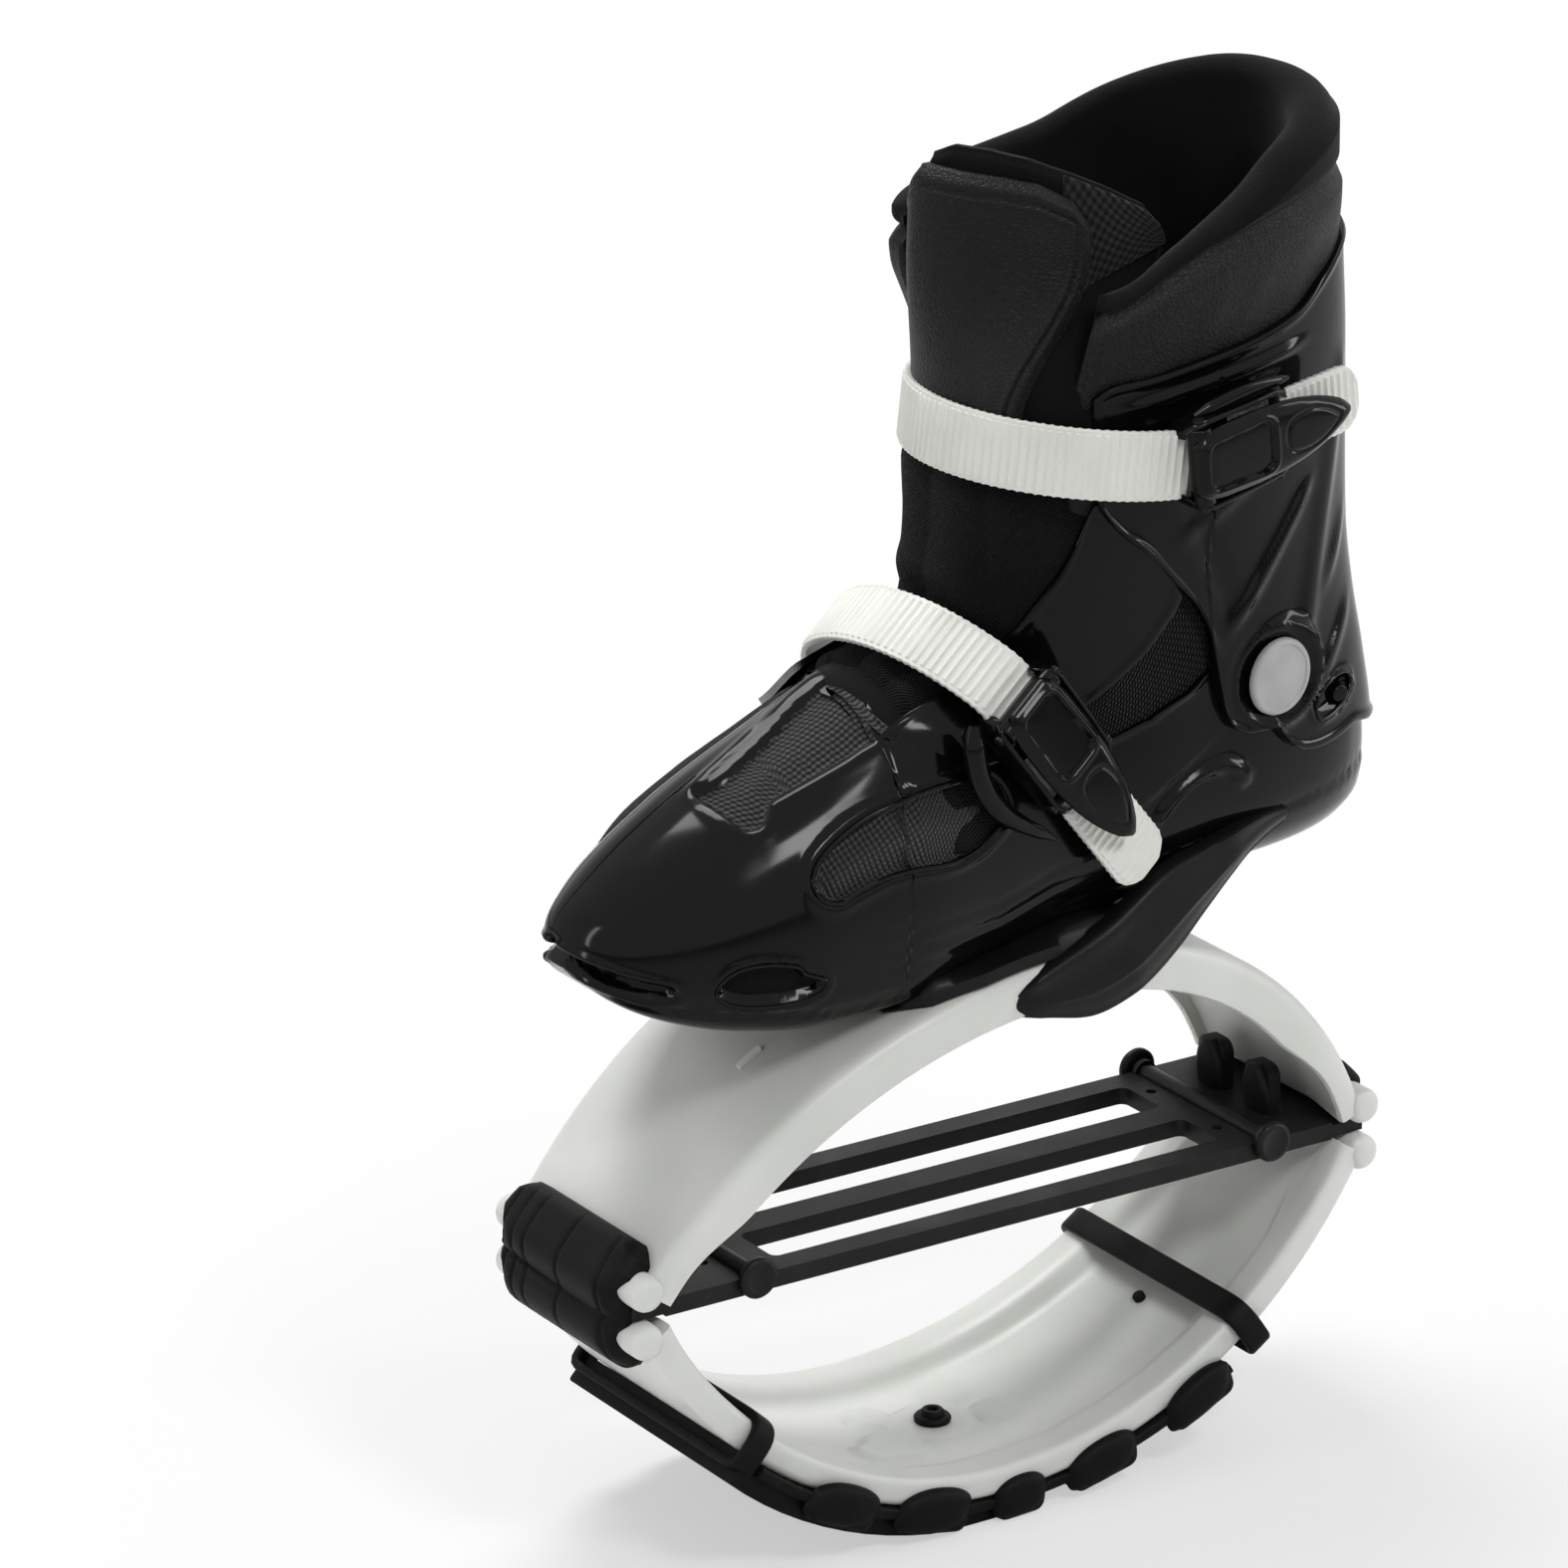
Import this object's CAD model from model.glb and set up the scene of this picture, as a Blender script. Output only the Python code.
"""The looks of a jump boot: a hard shell boot with a soft liner on two bowed springs.

Lengths in this file are millimetres in the CAD frame, and become metres where a mesh is made.
"""

from math import asin, cos, pi, radians, sin

import bmesh
import bpy
import numpy as np
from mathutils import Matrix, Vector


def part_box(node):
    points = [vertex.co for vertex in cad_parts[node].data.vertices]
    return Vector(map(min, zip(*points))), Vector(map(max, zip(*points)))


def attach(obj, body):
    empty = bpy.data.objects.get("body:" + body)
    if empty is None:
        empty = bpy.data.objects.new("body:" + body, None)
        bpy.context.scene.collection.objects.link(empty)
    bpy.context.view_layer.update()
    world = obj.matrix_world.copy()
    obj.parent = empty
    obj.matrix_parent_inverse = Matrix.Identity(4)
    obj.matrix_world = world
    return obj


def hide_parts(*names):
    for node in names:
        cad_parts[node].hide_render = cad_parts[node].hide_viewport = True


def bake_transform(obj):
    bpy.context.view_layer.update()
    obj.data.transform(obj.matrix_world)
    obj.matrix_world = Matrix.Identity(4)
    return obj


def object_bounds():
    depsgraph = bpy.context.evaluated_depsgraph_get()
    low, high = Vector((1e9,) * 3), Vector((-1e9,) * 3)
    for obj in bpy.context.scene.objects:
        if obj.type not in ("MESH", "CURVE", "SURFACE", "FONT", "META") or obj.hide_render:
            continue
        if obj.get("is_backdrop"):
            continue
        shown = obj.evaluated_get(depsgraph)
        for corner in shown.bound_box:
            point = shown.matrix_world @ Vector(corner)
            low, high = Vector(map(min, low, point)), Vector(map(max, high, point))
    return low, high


MM = 0.001
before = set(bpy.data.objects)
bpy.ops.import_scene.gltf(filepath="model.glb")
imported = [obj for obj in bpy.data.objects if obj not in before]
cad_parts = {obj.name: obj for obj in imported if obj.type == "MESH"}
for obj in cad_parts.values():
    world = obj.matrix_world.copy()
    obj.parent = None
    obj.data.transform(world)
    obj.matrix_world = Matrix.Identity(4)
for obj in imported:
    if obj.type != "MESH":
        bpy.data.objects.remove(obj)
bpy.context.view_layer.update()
scene = bpy.context.scene


def set_place(thing, right, up, back, place):
    """Put an object at a place in metres, with its own axes along three directions."""
    matrix = np.eye(4)
    matrix[:3, 0], matrix[:3, 1], matrix[:3, 2], matrix[:3, 3] = right, up, back, place
    thing.matrix_world = matrix.T.tolist()
    scene.collection.objects.link(thing)


# Camera: the place and turn that put the model's points on the photograph's pixels.
def photo_camera():
    azimuth, elevation, roll = radians(145.95), radians(20.6), radians(0.5)
    focal, aim_x, aim_y, distance, half = 8500, 957.2, 1183.2, 3000, 787.5
    back = np.array([cos(elevation) * sin(azimuth), -cos(elevation) * cos(azimuth), sin(elevation)])
    level = np.array([cos(azimuth), sin(azimuth), 0])
    upright = np.cross(back, level)
    right = cos(roll) * level + sin(roll) * upright
    up = cos(roll) * upright - sin(roll) * level
    place = distance * back - (aim_x - half) * distance / focal * right
    place = place - (half - aim_y) * distance / focal * up + np.array([-4, 0, 108.5])
    data = bpy.data.cameras.new("camera")
    data.lens = 36 * focal / (2 * half)
    data.sensor_width = 36
    data.clip_end = 50
    camera = bpy.data.objects.new("camera", data)
    set_place(camera, right, up, back, place * MM)
    scene.camera = camera


photo_camera()


# Shader maths
class Value:
    """A shader socket. Sums on it add Math nodes."""

    def __init__(self, tree, socket):
        self.tree = tree
        self.socket = socket

    def math(self, operation, *others):
        return self.tree.add("ShaderNodeMath", {"operation": operation}, dict(enumerate((self, *others))))

    def __add__(self, other):
        return self.math("ADD", other)

    def __radd__(self, other):
        return self.math("ADD", other)

    def __sub__(self, other):
        return self.math("SUBTRACT", other)

    def __rsub__(self, other):
        return self.math("MULTIPLY", -1).math("ADD", other)

    def __mul__(self, other):
        return self.math("MULTIPLY", other)

    def __rmul__(self, other):
        return self.math("MULTIPLY", other)

    def sine(self):
        return self.math("SINE")

    def between(self, low, high):
        """0 below low, 1 above high, and a smooth step between."""
        return self.tree.add("ShaderNodeMapRange", {"interpolation_type": "SMOOTHSTEP"},
                             {"Value": self, "From Min": low, "From Max": high})


class Finish:
    """A material, or the world, and the nodes that it is made of."""

    def __init__(self, name, owner=None):
        self.material = owner or bpy.data.materials.new(name)
        self.material.use_nodes = True
        self.nodes = self.material.node_tree.nodes
        self.links = self.material.node_tree.links
        self.nodes.clear()
        self.output = self.nodes.new("ShaderNodeOutputWorld" if owner else "ShaderNodeOutputMaterial")

    def add(self, kind, settings=None, inputs=None, output=0):
        node = self.nodes.new(kind)
        for name, value in (settings or {}).items():
            setattr(node, name, value)
        for name, value in (inputs or {}).items():
            if isinstance(value, Value):
                self.links.new(value.socket, node.inputs[name])
            else:
                node.inputs[name].default_value = value
        return Value(self, node.outputs[output])

    def place(self):
        """Object coordinates, in metres."""
        return self.add("ShaderNodeTexCoord", output="Object")

    def noise(self, scale, detail=2.0, roughness=0.5):
        values = {"Vector": self.place(), "Scale": scale, "Detail": detail, "Roughness": roughness}
        return self.add("ShaderNodeTexNoise", {}, values)

    def cells(self, scale, feature="F1"):
        return self.add("ShaderNodeTexVoronoi", {"feature": feature},
                        {"Vector": self.place(), "Scale": scale})

    def mix(self, share, first, second):
        """A colour that goes from the first to the second."""
        node = self.nodes.new("ShaderNodeMix")
        node.data_type = "RGBA"
        for socket, value in zip((node.inputs[0], node.inputs[6], node.inputs[7]), (share, first, second)):
            if isinstance(value, Value):
                self.links.new(value.socket, socket)
            else:
                socket.default_value = value
        return Value(self, node.outputs[2])

    def bump(self, height, distance, strength=1.0):
        return self.add("ShaderNodeBump", {}, {"Height": height, "Distance": distance, "Strength": strength})

    def surface(self, **inputs):
        values = {key.replace("_", " "): value for key, value in inputs.items()}
        return self.add("ShaderNodeBsdfPrincipled", {}, values)

    def done(self, shader):
        self.links.new(shader.socket, self.output.inputs["Surface"])
        return self.material


def grey(level, warm=0.0):
    return (level * (1 + warm), level, level * (1 - 1.6 * warm), 1)


def white_nylon():
    """Milky moulded nylon: cloudy, satin, with fine tool marks and a little light through it."""
    make = Finish("white_nylon")
    cloud = make.noise(14, 3)
    colour = make.mix(cloud.between(0.3, 0.7), (0.70, 0.715, 0.675, 1), (0.79, 0.80, 0.765, 1))
    scuff = make.noise(180, 4).between(0.52, 0.75)
    height = make.noise(60, 2) * 0.6 + make.noise(900, 2) * 0.12
    return make.done(make.surface(Base_Color=colour, Roughness=scuff * 0.12 + 0.36,
                                  Normal=make.bump(height, 0.0006, 0.5),
                                  Subsurface_Weight=0.18, Subsurface_Radius=(0.006, 0.006, 0.005),
                                  Subsurface_Scale=1.0, IOR=1.5))


def strap_nylon():
    """The strap's cleaner, slightly green white."""
    make = Finish("strap_nylon")
    cloud = make.noise(30, 2)
    colour = make.mix(cloud.between(0.3, 0.7), (0.74, 0.755, 0.70, 1), (0.80, 0.81, 0.76, 1))
    height = make.noise(1500, 2)
    return make.done(make.surface(Base_Color=colour, Roughness=make.noise(120, 2) * 0.1 + 0.36,
                                  Normal=make.bump(height, 0.0001, 0.4), Subsurface_Weight=0.12,
                                  Subsurface_Radius=(0.003, 0.003, 0.002), Subsurface_Scale=1.0, IOR=1.5))


def polished(make, level, dusty, rough, wave_scale, wave):
    """Moulded plastic with a high polish: long soft waves in it, faint dust and hair scratches."""
    smear = make.noise(45, 4).between(0.45, 0.8)
    specks = make.noise(2200, 2).between(0.66, 0.74)
    height = make.noise(wave_scale, 2) * 0.9 + make.noise(1800, 2) * 0.006
    return make.surface(Base_Color=make.mix(specks * 0.4, grey(level), grey(dusty)),
                        Roughness=smear * 0.07 + rough,
                        IOR=1.5, Normal=make.bump(height, wave, 0.6), Specular_IOR_Level=0.15)


def gloss_black(name, level=0.0025, rough=0.1, wave=0.0004):
    make = Finish(name)
    return make.done(polished(make, level, level * 5, rough, 22, wave))


def satin_black(name, level=0.016, rough=0.42, grain=1400, depth=0.00008):
    """Moulded nylon or cast resin: a fine even grain, paler where handling has rubbed it."""
    make = Finish(name)
    rub = make.noise(28, 4).between(0.45, 0.75)
    colour = make.mix(rub, grey(level), grey(level * 1.7))
    height = make.cells(grain) * 0.7 + make.noise(grain * 0.4, 3)
    return make.done(make.surface(Base_Color=colour, Roughness=rub * -0.08 + rough, IOR=1.5,
                                  Normal=make.bump(height, depth, 0.7), Specular_IOR_Level=0.16))


def black_rubber():
    """Dull rubber with a pebbled surface and dusty high spots."""
    make = Finish("black_rubber")
    dust = make.noise(70, 5, 0.65).between(0.5, 0.8)
    colour = make.mix(dust, grey(0.005), grey(0.012, 0.03))
    height = make.noise(700, 4) * 0.8 + make.cells(900) * 0.3
    return make.done(make.surface(Base_Color=colour, Roughness=dust * 0.1 + 0.52, IOR=1.5,
                                  Normal=make.bump(height, 0.0002, 0.5), Specular_IOR_Level=0.09))


def leather_cloth():
    """Coated cloth: small creased cells with a low sheen."""
    make = Finish("leather_cloth")
    cells = make.cells(620, feature="DISTANCE_TO_EDGE")
    wrinkle = make.noise(240, 5, 0.6)
    shade = make.noise(20, 3).between(0.3, 0.75)
    colour = make.mix(shade, grey(0.0042), grey(0.0080))
    height = cells.between(0.0, 0.25) * 0.6 + wrinkle * 0.8
    return make.done(make.surface(Base_Color=colour, Roughness=wrinkle * 0.14 + 0.36, IOR=1.5,
                                  Normal=make.bump(height, 0.0004, 0.7), Sheen_Weight=0.05,
                                  Sheen_Roughness=0.5,
                                  Specular_IOR_Level=0.14))


def brushed_lining():
    """The liner's soft inside and its rim: short brushed pile."""
    make = Finish("brushed_lining")
    pile = make.noise(900, 5, 0.7)
    shade = make.noise(26, 3).between(0.3, 0.75)
    colour = make.mix(shade, grey(0.0040), grey(0.0075))
    return make.done(make.surface(Base_Color=colour, Roughness=0.9, Normal=make.bump(pile, 0.0005, 0.8),
                                  Sheen_Weight=0.10, Sheen_Roughness=0.4, IOR=1.4, Specular_IOR_Level=0.1))


def weave(make, pitch, lean=0.0):
    """Height of a plain weave over the piece's own UV map, whose unit is a tenth of a metre."""
    uv = make.add("ShaderNodeUVMap", {"uv_map": "flat"})
    parts = make.nodes.new("ShaderNodeSeparateXYZ")
    make.links.new(uv.socket, parts.inputs[0])
    turn = 2 * pi / (pitch * 10)
    across, along = Value(make, parts.outputs[0]), Value(make, parts.outputs[1])
    first = (across * turn + along * (turn * lean)).sine()
    second = (along * turn - across * (turn * lean)).sine()
    return first * second


def knit(name, pitch, level, lean=0.0):
    """A matt knit or mesh with open cells."""
    make = Finish(name)
    height = weave(make, pitch, lean)
    fuzz = make.noise(1600, 3)
    colour = make.mix(height.between(-0.7, 0.8), grey(level * 0.25), grey(level))
    return make.done(make.surface(Base_Color=colour, Roughness=0.85, Sheen_Weight=0.06, Sheen_Roughness=0.5,
                                  Normal=make.bump(height + fuzz * 0.5, 0.0006, 0.8), IOR=1.4,
                                  Specular_IOR_Level=0.1))


def shell_finish():
    """The shoe's polished plastic, with mesh where the shell has a window."""
    make = Finish("shell_gloss")
    hard = polished(make, 0.0025, 0.015, 0.1, 20, 0.0004)
    cloth = weave(make, 0.0032, 0.45)
    soft = make.surface(Base_Color=make.mix(cloth.between(-0.6, 0.8), grey(0.0015), grey(0.02)),
                        Roughness=0.7,
                        Normal=make.bump(cloth, 0.0009, 0.9), Sheen_Weight=0.1, IOR=1.4)
    window = make.add("ShaderNodeAttribute", {"attribute_name": "window"}, output="Fac")
    return make.done(make.add("ShaderNodeMixShader", {}, {0: window.between(0.35, 0.65), 1: hard, 2: soft}))


def rivet_paint():
    """Pale grey satin paint on a pressed head."""
    make = Finish("rivet_paint")
    shade = make.noise(60, 3)
    colour = make.mix(shade.between(0.3, 0.7), grey(0.36), grey(0.43))
    return make.done(make.surface(Base_Color=colour, Roughness=make.noise(500, 3) * 0.2 + 0.35, IOR=1.5,
                                  Normal=make.bump(make.noise(1500, 3), 0.0001, 0.4)))


def steel():
    make = Finish("dark_steel")
    brush = make.noise(900, 4)
    return make.done(make.surface(Base_Color=grey(0.32), Metallic=1.0, Roughness=brush * 0.2 + 0.25,
                                  Normal=make.bump(brush, 0.0001, 0.3)))


WHITE = white_nylon()
STRAP = strap_nylon()
SHELL = shell_finish()
GLOSS = gloss_black("cuff_gloss")
BUCKLE = gloss_black("buckle_gloss", 0.003, 0.13, 0.0002)
CRADLE = satin_black("cradle_satin", 0.005, 0.36, 1800, 0.00005)
PLATE = satin_black("plate_nylon", 0.010, 0.46)
ROD = satin_black("rod_black", 0.008, 0.36)
RUBBER = black_rubber()
LEATHER = leather_cloth()
LINING = brushed_lining()
KNIT = knit("ribbed_knit", 0.0014, 0.0045)
PATCH = knit("hook_patch", 0.0038, 0.026, 0.25)
FOAM = knit("insole_cloth", 0.0022, 0.03)
RIVET = rivet_paint()
STEEL = steel()


# Meshes
def grid_faces(rows, columns, wrap_rows=False, wrap_columns=False):
    """The quads of a grid of points, counted row by row."""
    i = np.arange(rows if wrap_rows else rows - 1)
    j = np.arange(columns if wrap_columns else columns - 1)
    a, b = np.meshgrid(i, j, indexing="ij")
    c, d = (a + 1) % rows, (b + 1) % columns
    return np.stack([a * columns + b, c * columns + b, c * columns + d, a * columns + d], -1).reshape(-1, 4)


def tube(points, wrap_rows=False):
    """A grid whose columns close on themselves. Open ends are drawn together to a point."""
    if not wrap_rows:
        first = np.repeat(points[:1].mean(1, keepdims=True), points.shape[1], 1)
        last = np.repeat(points[-1:].mean(1, keepdims=True), points.shape[1], 1)
        points = np.concatenate([first, points, last])
    return points.reshape(-1, 3), grid_faces(points.shape[0], points.shape[1], wrap_rows, True)


def slab(outer, inner, wrap_rows=False):
    """A wall between two grids of the same shape, closed along all its edges."""
    rows, columns = outer.shape[:2]
    loops = np.concatenate([outer, inner[:, ::-1]], 1)
    faces = [grid_faces(rows, 2 * columns, wrap_rows, True)]
    if not wrap_rows:
        j = np.arange(columns - 1)
        for row in (0, rows - 1):
            base = row * 2 * columns
            faces.append(np.stack([base + j, base + j + 1, base + 2 * columns - 2 - j,
                                   base + 2 * columns - 1 - j], -1))
    return loops.reshape(-1, 3), np.concatenate(faces)


def piece(name, patches, finish, body=None, stands_for=(), flat=None, window=None, sharp=38):
    """Join patches into one object, with its faces outwards, and let it ride on a body."""
    points, faces, start = [], [], 0
    for patch_points, patch_faces in patches:
        points.append(patch_points)
        faces.append(patch_faces + start)
        start += len(patch_points)
    points, faces = np.concatenate(points), np.concatenate(faces)
    mesh = bpy.data.meshes.new(name)
    mesh.vertices.add(len(points))
    mesh.vertices.foreach_set("co", (points * MM).astype(np.float32).ravel())
    mesh.loops.add(faces.size)
    mesh.loops.foreach_set("vertex_index", faces.ravel().astype(np.int32))
    mesh.polygons.add(len(faces))
    mesh.polygons.foreach_set("loop_start", np.arange(0, faces.size, 4, dtype=np.int32))
    if flat is not None:
        mesh.uv_layers.new(name="flat").data.foreach_set("uv", flat[faces.ravel()].astype(np.float32).ravel())
    if window is not None:
        mesh.attributes.new("window", "FLOAT", "POINT").data.foreach_set("value", window.astype(np.float32))
    mesh.update(calc_edges=True)
    work = bmesh.new()
    work.from_mesh(mesh)
    bmesh.ops.remove_doubles(work, verts=work.verts, dist=2e-6)
    bmesh.ops.recalc_face_normals(work, faces=work.faces)
    work.to_mesh(mesh)
    work.free()
    mesh.polygons.foreach_set("use_smooth", np.ones(len(mesh.polygons), bool))
    mesh.set_sharp_from_angle(angle=radians(sharp))
    mesh.materials.append(finish)
    made = bpy.data.objects.new(name, mesh)
    scene.collection.objects.link(made)
    if stands_for:
        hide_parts(*stands_for)
    if body:
        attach(made, body)
    return made


def rounded(corners, radii, steps=5):
    """A closed outline with each corner turned into an arc of steps points, by sliding a quadratic curve."""
    corners, radii = np.asarray(corners, float), np.asarray(radii, float)
    before, after = np.roll(corners, 1, 0) - corners, np.roll(corners, -1, 0) - corners
    reach_before = np.minimum(radii / np.linalg.norm(before, axis=1), 0.5)[:, None]
    reach_after = np.minimum(radii / np.linalg.norm(after, axis=1), 0.5)[:, None]
    t = np.linspace(0, 1, steps)[None, :, None]
    start, end = (corners + before * reach_before)[:, None], (corners + after * reach_after)[:, None]
    arc = (1 - t) ** 2 * start + 2 * t * (1 - t) * corners[:, None] + t ** 2 * end
    return arc.reshape(-1, corners.shape[1])


def steps_along(line):
    """Distance from a line's start to each of its points."""
    return np.concatenate([[0], np.cumsum(np.linalg.norm(np.diff(line, axis=0), axis=1))])


def resample(line, count, closed=False):
    """Points evenly spaced along a line."""
    if closed:
        line = np.concatenate([line, line[:1]])
    steps = steps_along(line)
    at = np.linspace(0, steps[-1], count, endpoint=not closed)
    return np.stack([np.interp(at, steps, line[:, k]) for k in range(line.shape[1])], -1)


def curve_through(points, count, closed=False):
    """A smooth line through points: Catmull-Rom pieces between them, then evenly spaced."""
    points = np.asarray(points, float)
    if closed:
        padded = np.concatenate([points[-1:], points, points[:2]])
    else:
        padded = np.concatenate([2 * points[:1] - points[1:2], points, 2 * points[-1:] - points[-2:-1]])
    t = np.linspace(0, 1, 12, endpoint=False)[None, :, None]
    p0, p1, p2, p3 = (padded[k:len(padded) - 3 + k, None] for k in range(4))
    line = 0.5 * (2 * p1 + (p2 - p0) * t + (2 * p0 - 5 * p1 + 4 * p2 - p3) * t ** 2
                  + (3 * p1 - p0 - 3 * p2 + p3) * t ** 3)
    line = line.reshape(-1, points.shape[1])
    return resample(line if closed else np.concatenate([line, points[-1:]]), count, closed)


def read(table, at):
    """The second column of a table at places in its first, along straight lines."""
    return np.interp(at, *np.transpose(table))


def ridge(value, width):
    """A bell over zero that is down to a third at the width."""
    return np.exp(-(value / width) ** 2)


def signed_power(value, power):
    """A power that keeps the sign. It squares up a round outline."""
    return np.sign(value) * np.abs(value) ** power


def smooth_step(value, low, high):
    t = np.clip((value - low) / (high - low), 0, 1)
    return t * t * (3 - 2 * t)


def inside_depth(points, outline):
    """Distance of flat points from a closed outline, positive inside it."""
    a, b = outline, np.roll(outline, -1, 0)
    best = np.full(points.shape[:-1], 1e9)
    crossings = np.zeros(points.shape[:-1], int)
    for p, q in zip(a, b):
        way = q - p
        t = np.clip(((points - p) @ way) / (way @ way + 1e-12), 0, 1)
        best = np.minimum(best, np.linalg.norm(points - p - t[..., None] * way, axis=-1))
        spans = (p[1] > points[..., 1]) != (q[1] > points[..., 1])
        at = p[0] + (points[..., 1] - p[1]) * way[0] / (way[1] if abs(way[1]) > 1e-9 else 1e-9)
        crossings += spans & (points[..., 0] < at)
    return np.where(crossings % 2 == 1, best, -best)


def unit_rows(ways):
    """Directions in the last axis of an array, made one long."""
    return ways / np.linalg.norm(ways, axis=-1, keepdims=True)


def along(line, closed=False):
    """Unit directions along a line of points."""
    return unit_rows(np.roll(line, -1, 0) - np.roll(line, 1, 0) if closed else np.gradient(line, axis=0))


def rope(line, radius, closed=False, steps=8, flatten=1.0, up=(0, 0, 1)):
    """A round bead carried along a line, flattened towards its side direction."""
    way = along(line, closed)
    side = np.cross(way, np.asarray(up, float))
    side /= np.linalg.norm(side, axis=1, keepdims=True) + 1e-12
    over = np.cross(side, way)
    a = np.linspace(0, 2 * pi, steps, endpoint=False)[None, :, None]
    radius = np.broadcast_to(np.asarray(radius, float), (len(line),))[:, None, None]
    ring = line[:, None] + radius * (np.cos(a) * side[:, None] + flatten * np.sin(a) * over[:, None])
    return tube(ring, closed)


def turned(profile, centre, axis, count=40):
    """A profile of (radius, distance along the axis) turned round an axis from a centre."""
    axis = np.asarray(axis, float) / np.linalg.norm(axis)
    side = np.cross(axis, (0.3, 0.2, 0.9))
    side /= np.linalg.norm(side)
    over = np.cross(axis, side)
    a = np.linspace(0, 2 * pi, count, endpoint=False)[None, :, None]
    profile = np.asarray(profile, float)
    ring = np.cos(a) * side + np.sin(a) * over
    return tube(np.asarray(centre, float) + profile[:, None, :1] * ring + profile[:, None, 1:] * axis)


def bar(start, end, radius, ease=2.0):
    """A round bar with softened ends."""
    start, end = np.asarray(start, float), np.asarray(end, float)
    length = np.linalg.norm(end - start)
    t = np.linspace(0, pi / 2, 6)
    front = np.stack([radius - ease + ease * np.sin(t), ease - ease * np.cos(t)], -1)
    back = np.stack([front[::-1, 0], length - front[::-1, 1]], -1)
    return turned(np.concatenate([front, back]), start, end - start)


# Spring unit. Each bow, seen from the side, is two arcs that meet, level, at its apex.
BEAD_X, BEAD_RADIUS = 153.4, 6.5
UPPER_APEX, LOWER_APEX = (-20, 208.5), (10, 9.5)
UPPER_BEAD_Z, LOWER_BEAD_Z = 117.5, 99.5
HALF_END, HALF_MID = 45.0, 54.0
BOW_SKIN = 4.6
UPPER_CORNERS = [
    (-54, 0), (0, 0), (54, 0), (54, 17), (49, 17), (49, BOW_SKIN), (0, BOW_SKIN), (-49, BOW_SKIN),
    (-49, 17), (-54, 17),
]
UPPER_RADII = (7, 1, 7, 2, 2, 5, 1, 5, 2, 2)
LOWER_CORNERS = [
    (-54, 0), (0, 0), (54, 0), (54, 11), (39, 11), (33, BOW_SKIN), (0, BOW_SKIN), (-33, BOW_SKIN),
    (-39, 11), (-54, 11),
]
LOWER_RADII = (3.5, 1, 3.5, 3.5, 6, 5, 1, 5, 6, 3.5)
# Low round islands in the lower bow's floor: x, y, radius.
ISLANDS = ((3.3, 0, 15.5), (27, 10, 12), (38, 14, 8), (22, -15, 9), (-14, -17, 9), (-20, 6, 8))
FLOOR_HALF = 33
# The sole's lugs: x, length, height above the bow's outer face, and how far each leans back as it rises.
LUGS = (
    (78, 31, 6.5, -0.35), (40, 31, 7.5, -0.35), (3.2, 22, 6.5, -0.15), (-32.4, 30, 6.5, -0.3),
    (-74.5, 30, 6, -0.35),
)
LUG_HALF = 54.2
FRONT_BAND_X, REAR_BAND_X = 116.5, -100
# A short raised mark on the upper bow, in front of the shell.
MARK_X, MARK_Y, MARK_HALF, MARK_RADIUS = 89, 9.0, 4.5, 2.6


def bow_path(apex, bead_z, count, low=-BEAD_X, high=BEAD_X):
    """Points (x, z) on a bow's outer face and directions into it, evenly by turn, from behind to in front.

    Each side's arc has the radius (run squared + rise squared) / (2 rise)."""
    up = 1 if apex[1] > bead_z else -1
    rise = abs(apex[1] - bead_z)
    points, inward = [], []
    for side, end in ((-1, low), (1, high)):
        run = BEAD_X - side * apex[0]
        radius = (run * run + rise * rise) / (2 * rise)
        reach = asin(min(max(side * (end - apex[0]), 0) / radius, 1))
        a = np.linspace(reach, 0, count) if side < 0 else np.linspace(0, reach, count)[1:]
        points.append(np.stack([apex[0] + side * radius * np.sin(a),
                                apex[1] - up * radius * (1 - np.cos(a))], -1))
        inward.append(np.stack([-side * np.sin(a), -up * np.cos(a)], -1))
    return np.concatenate(points), np.concatenate(inward)


def bow_half(x):
    """Half width of a bow: its plan outline is one shallow arc each side."""
    bulge = HALF_MID - HALF_END
    radius = (BEAD_X ** 2 + bulge ** 2) / (2 * bulge)
    return HALF_MID - radius + np.sqrt(radius ** 2 - x ** 2)


def carried(points, inward, across, depth):
    """Carry a profile along a path: rows are stations, columns are the profile's points."""
    x = points[:, :1] + inward[:, :1] * depth
    z = points[:, 1:] + inward[:, 1:] * depth
    return np.stack([x, across, z], -1)


def bow(apex, bead_z, corners, radii, floor_end, count=90):
    """A bow whose profile is (across, depth). Its hollow runs out before the beads."""
    outline = resample(rounded(corners, radii, 7), 150, True)
    points, inward = bow_path(apex, bead_z, count)
    half = bow_half(points[:, 0])[:, None]
    across = outline[:, 0] * half / HALF_MID
    depth = outline[:, 1] * np.ones_like(half)
    deepest = outline[:, 1].max()
    end = smooth_step(BEAD_X - np.abs(points[:, :1]), 6, 30)
    in_floor = (outline[:, 1] >= BOW_SKIN - 0.6) & (np.abs(outline[:, 0]) < HALF_MID - 3)
    filled = np.minimum(depth + (floor_end - BOW_SKIN) * (1 - end), np.maximum(depth, floor_end))
    depth = np.where(in_floor, filled, depth)
    drawn_in = BOW_SKIN + (depth - BOW_SKIN) * (1 - (1 - end) * (1 - floor_end / deepest))
    depth = np.where(depth > BOW_SKIN, drawn_in, depth)
    return points, inward, across, depth


def with_bead_ends(body_grid, bead_z):
    end = HALF_END + 1
    return [tube(body_grid)] + [bar((x, -end, bead_z), (x, end, bead_z), BEAD_RADIUS, 3.5)
                                for x in (-BEAD_X, BEAD_X)]


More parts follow.
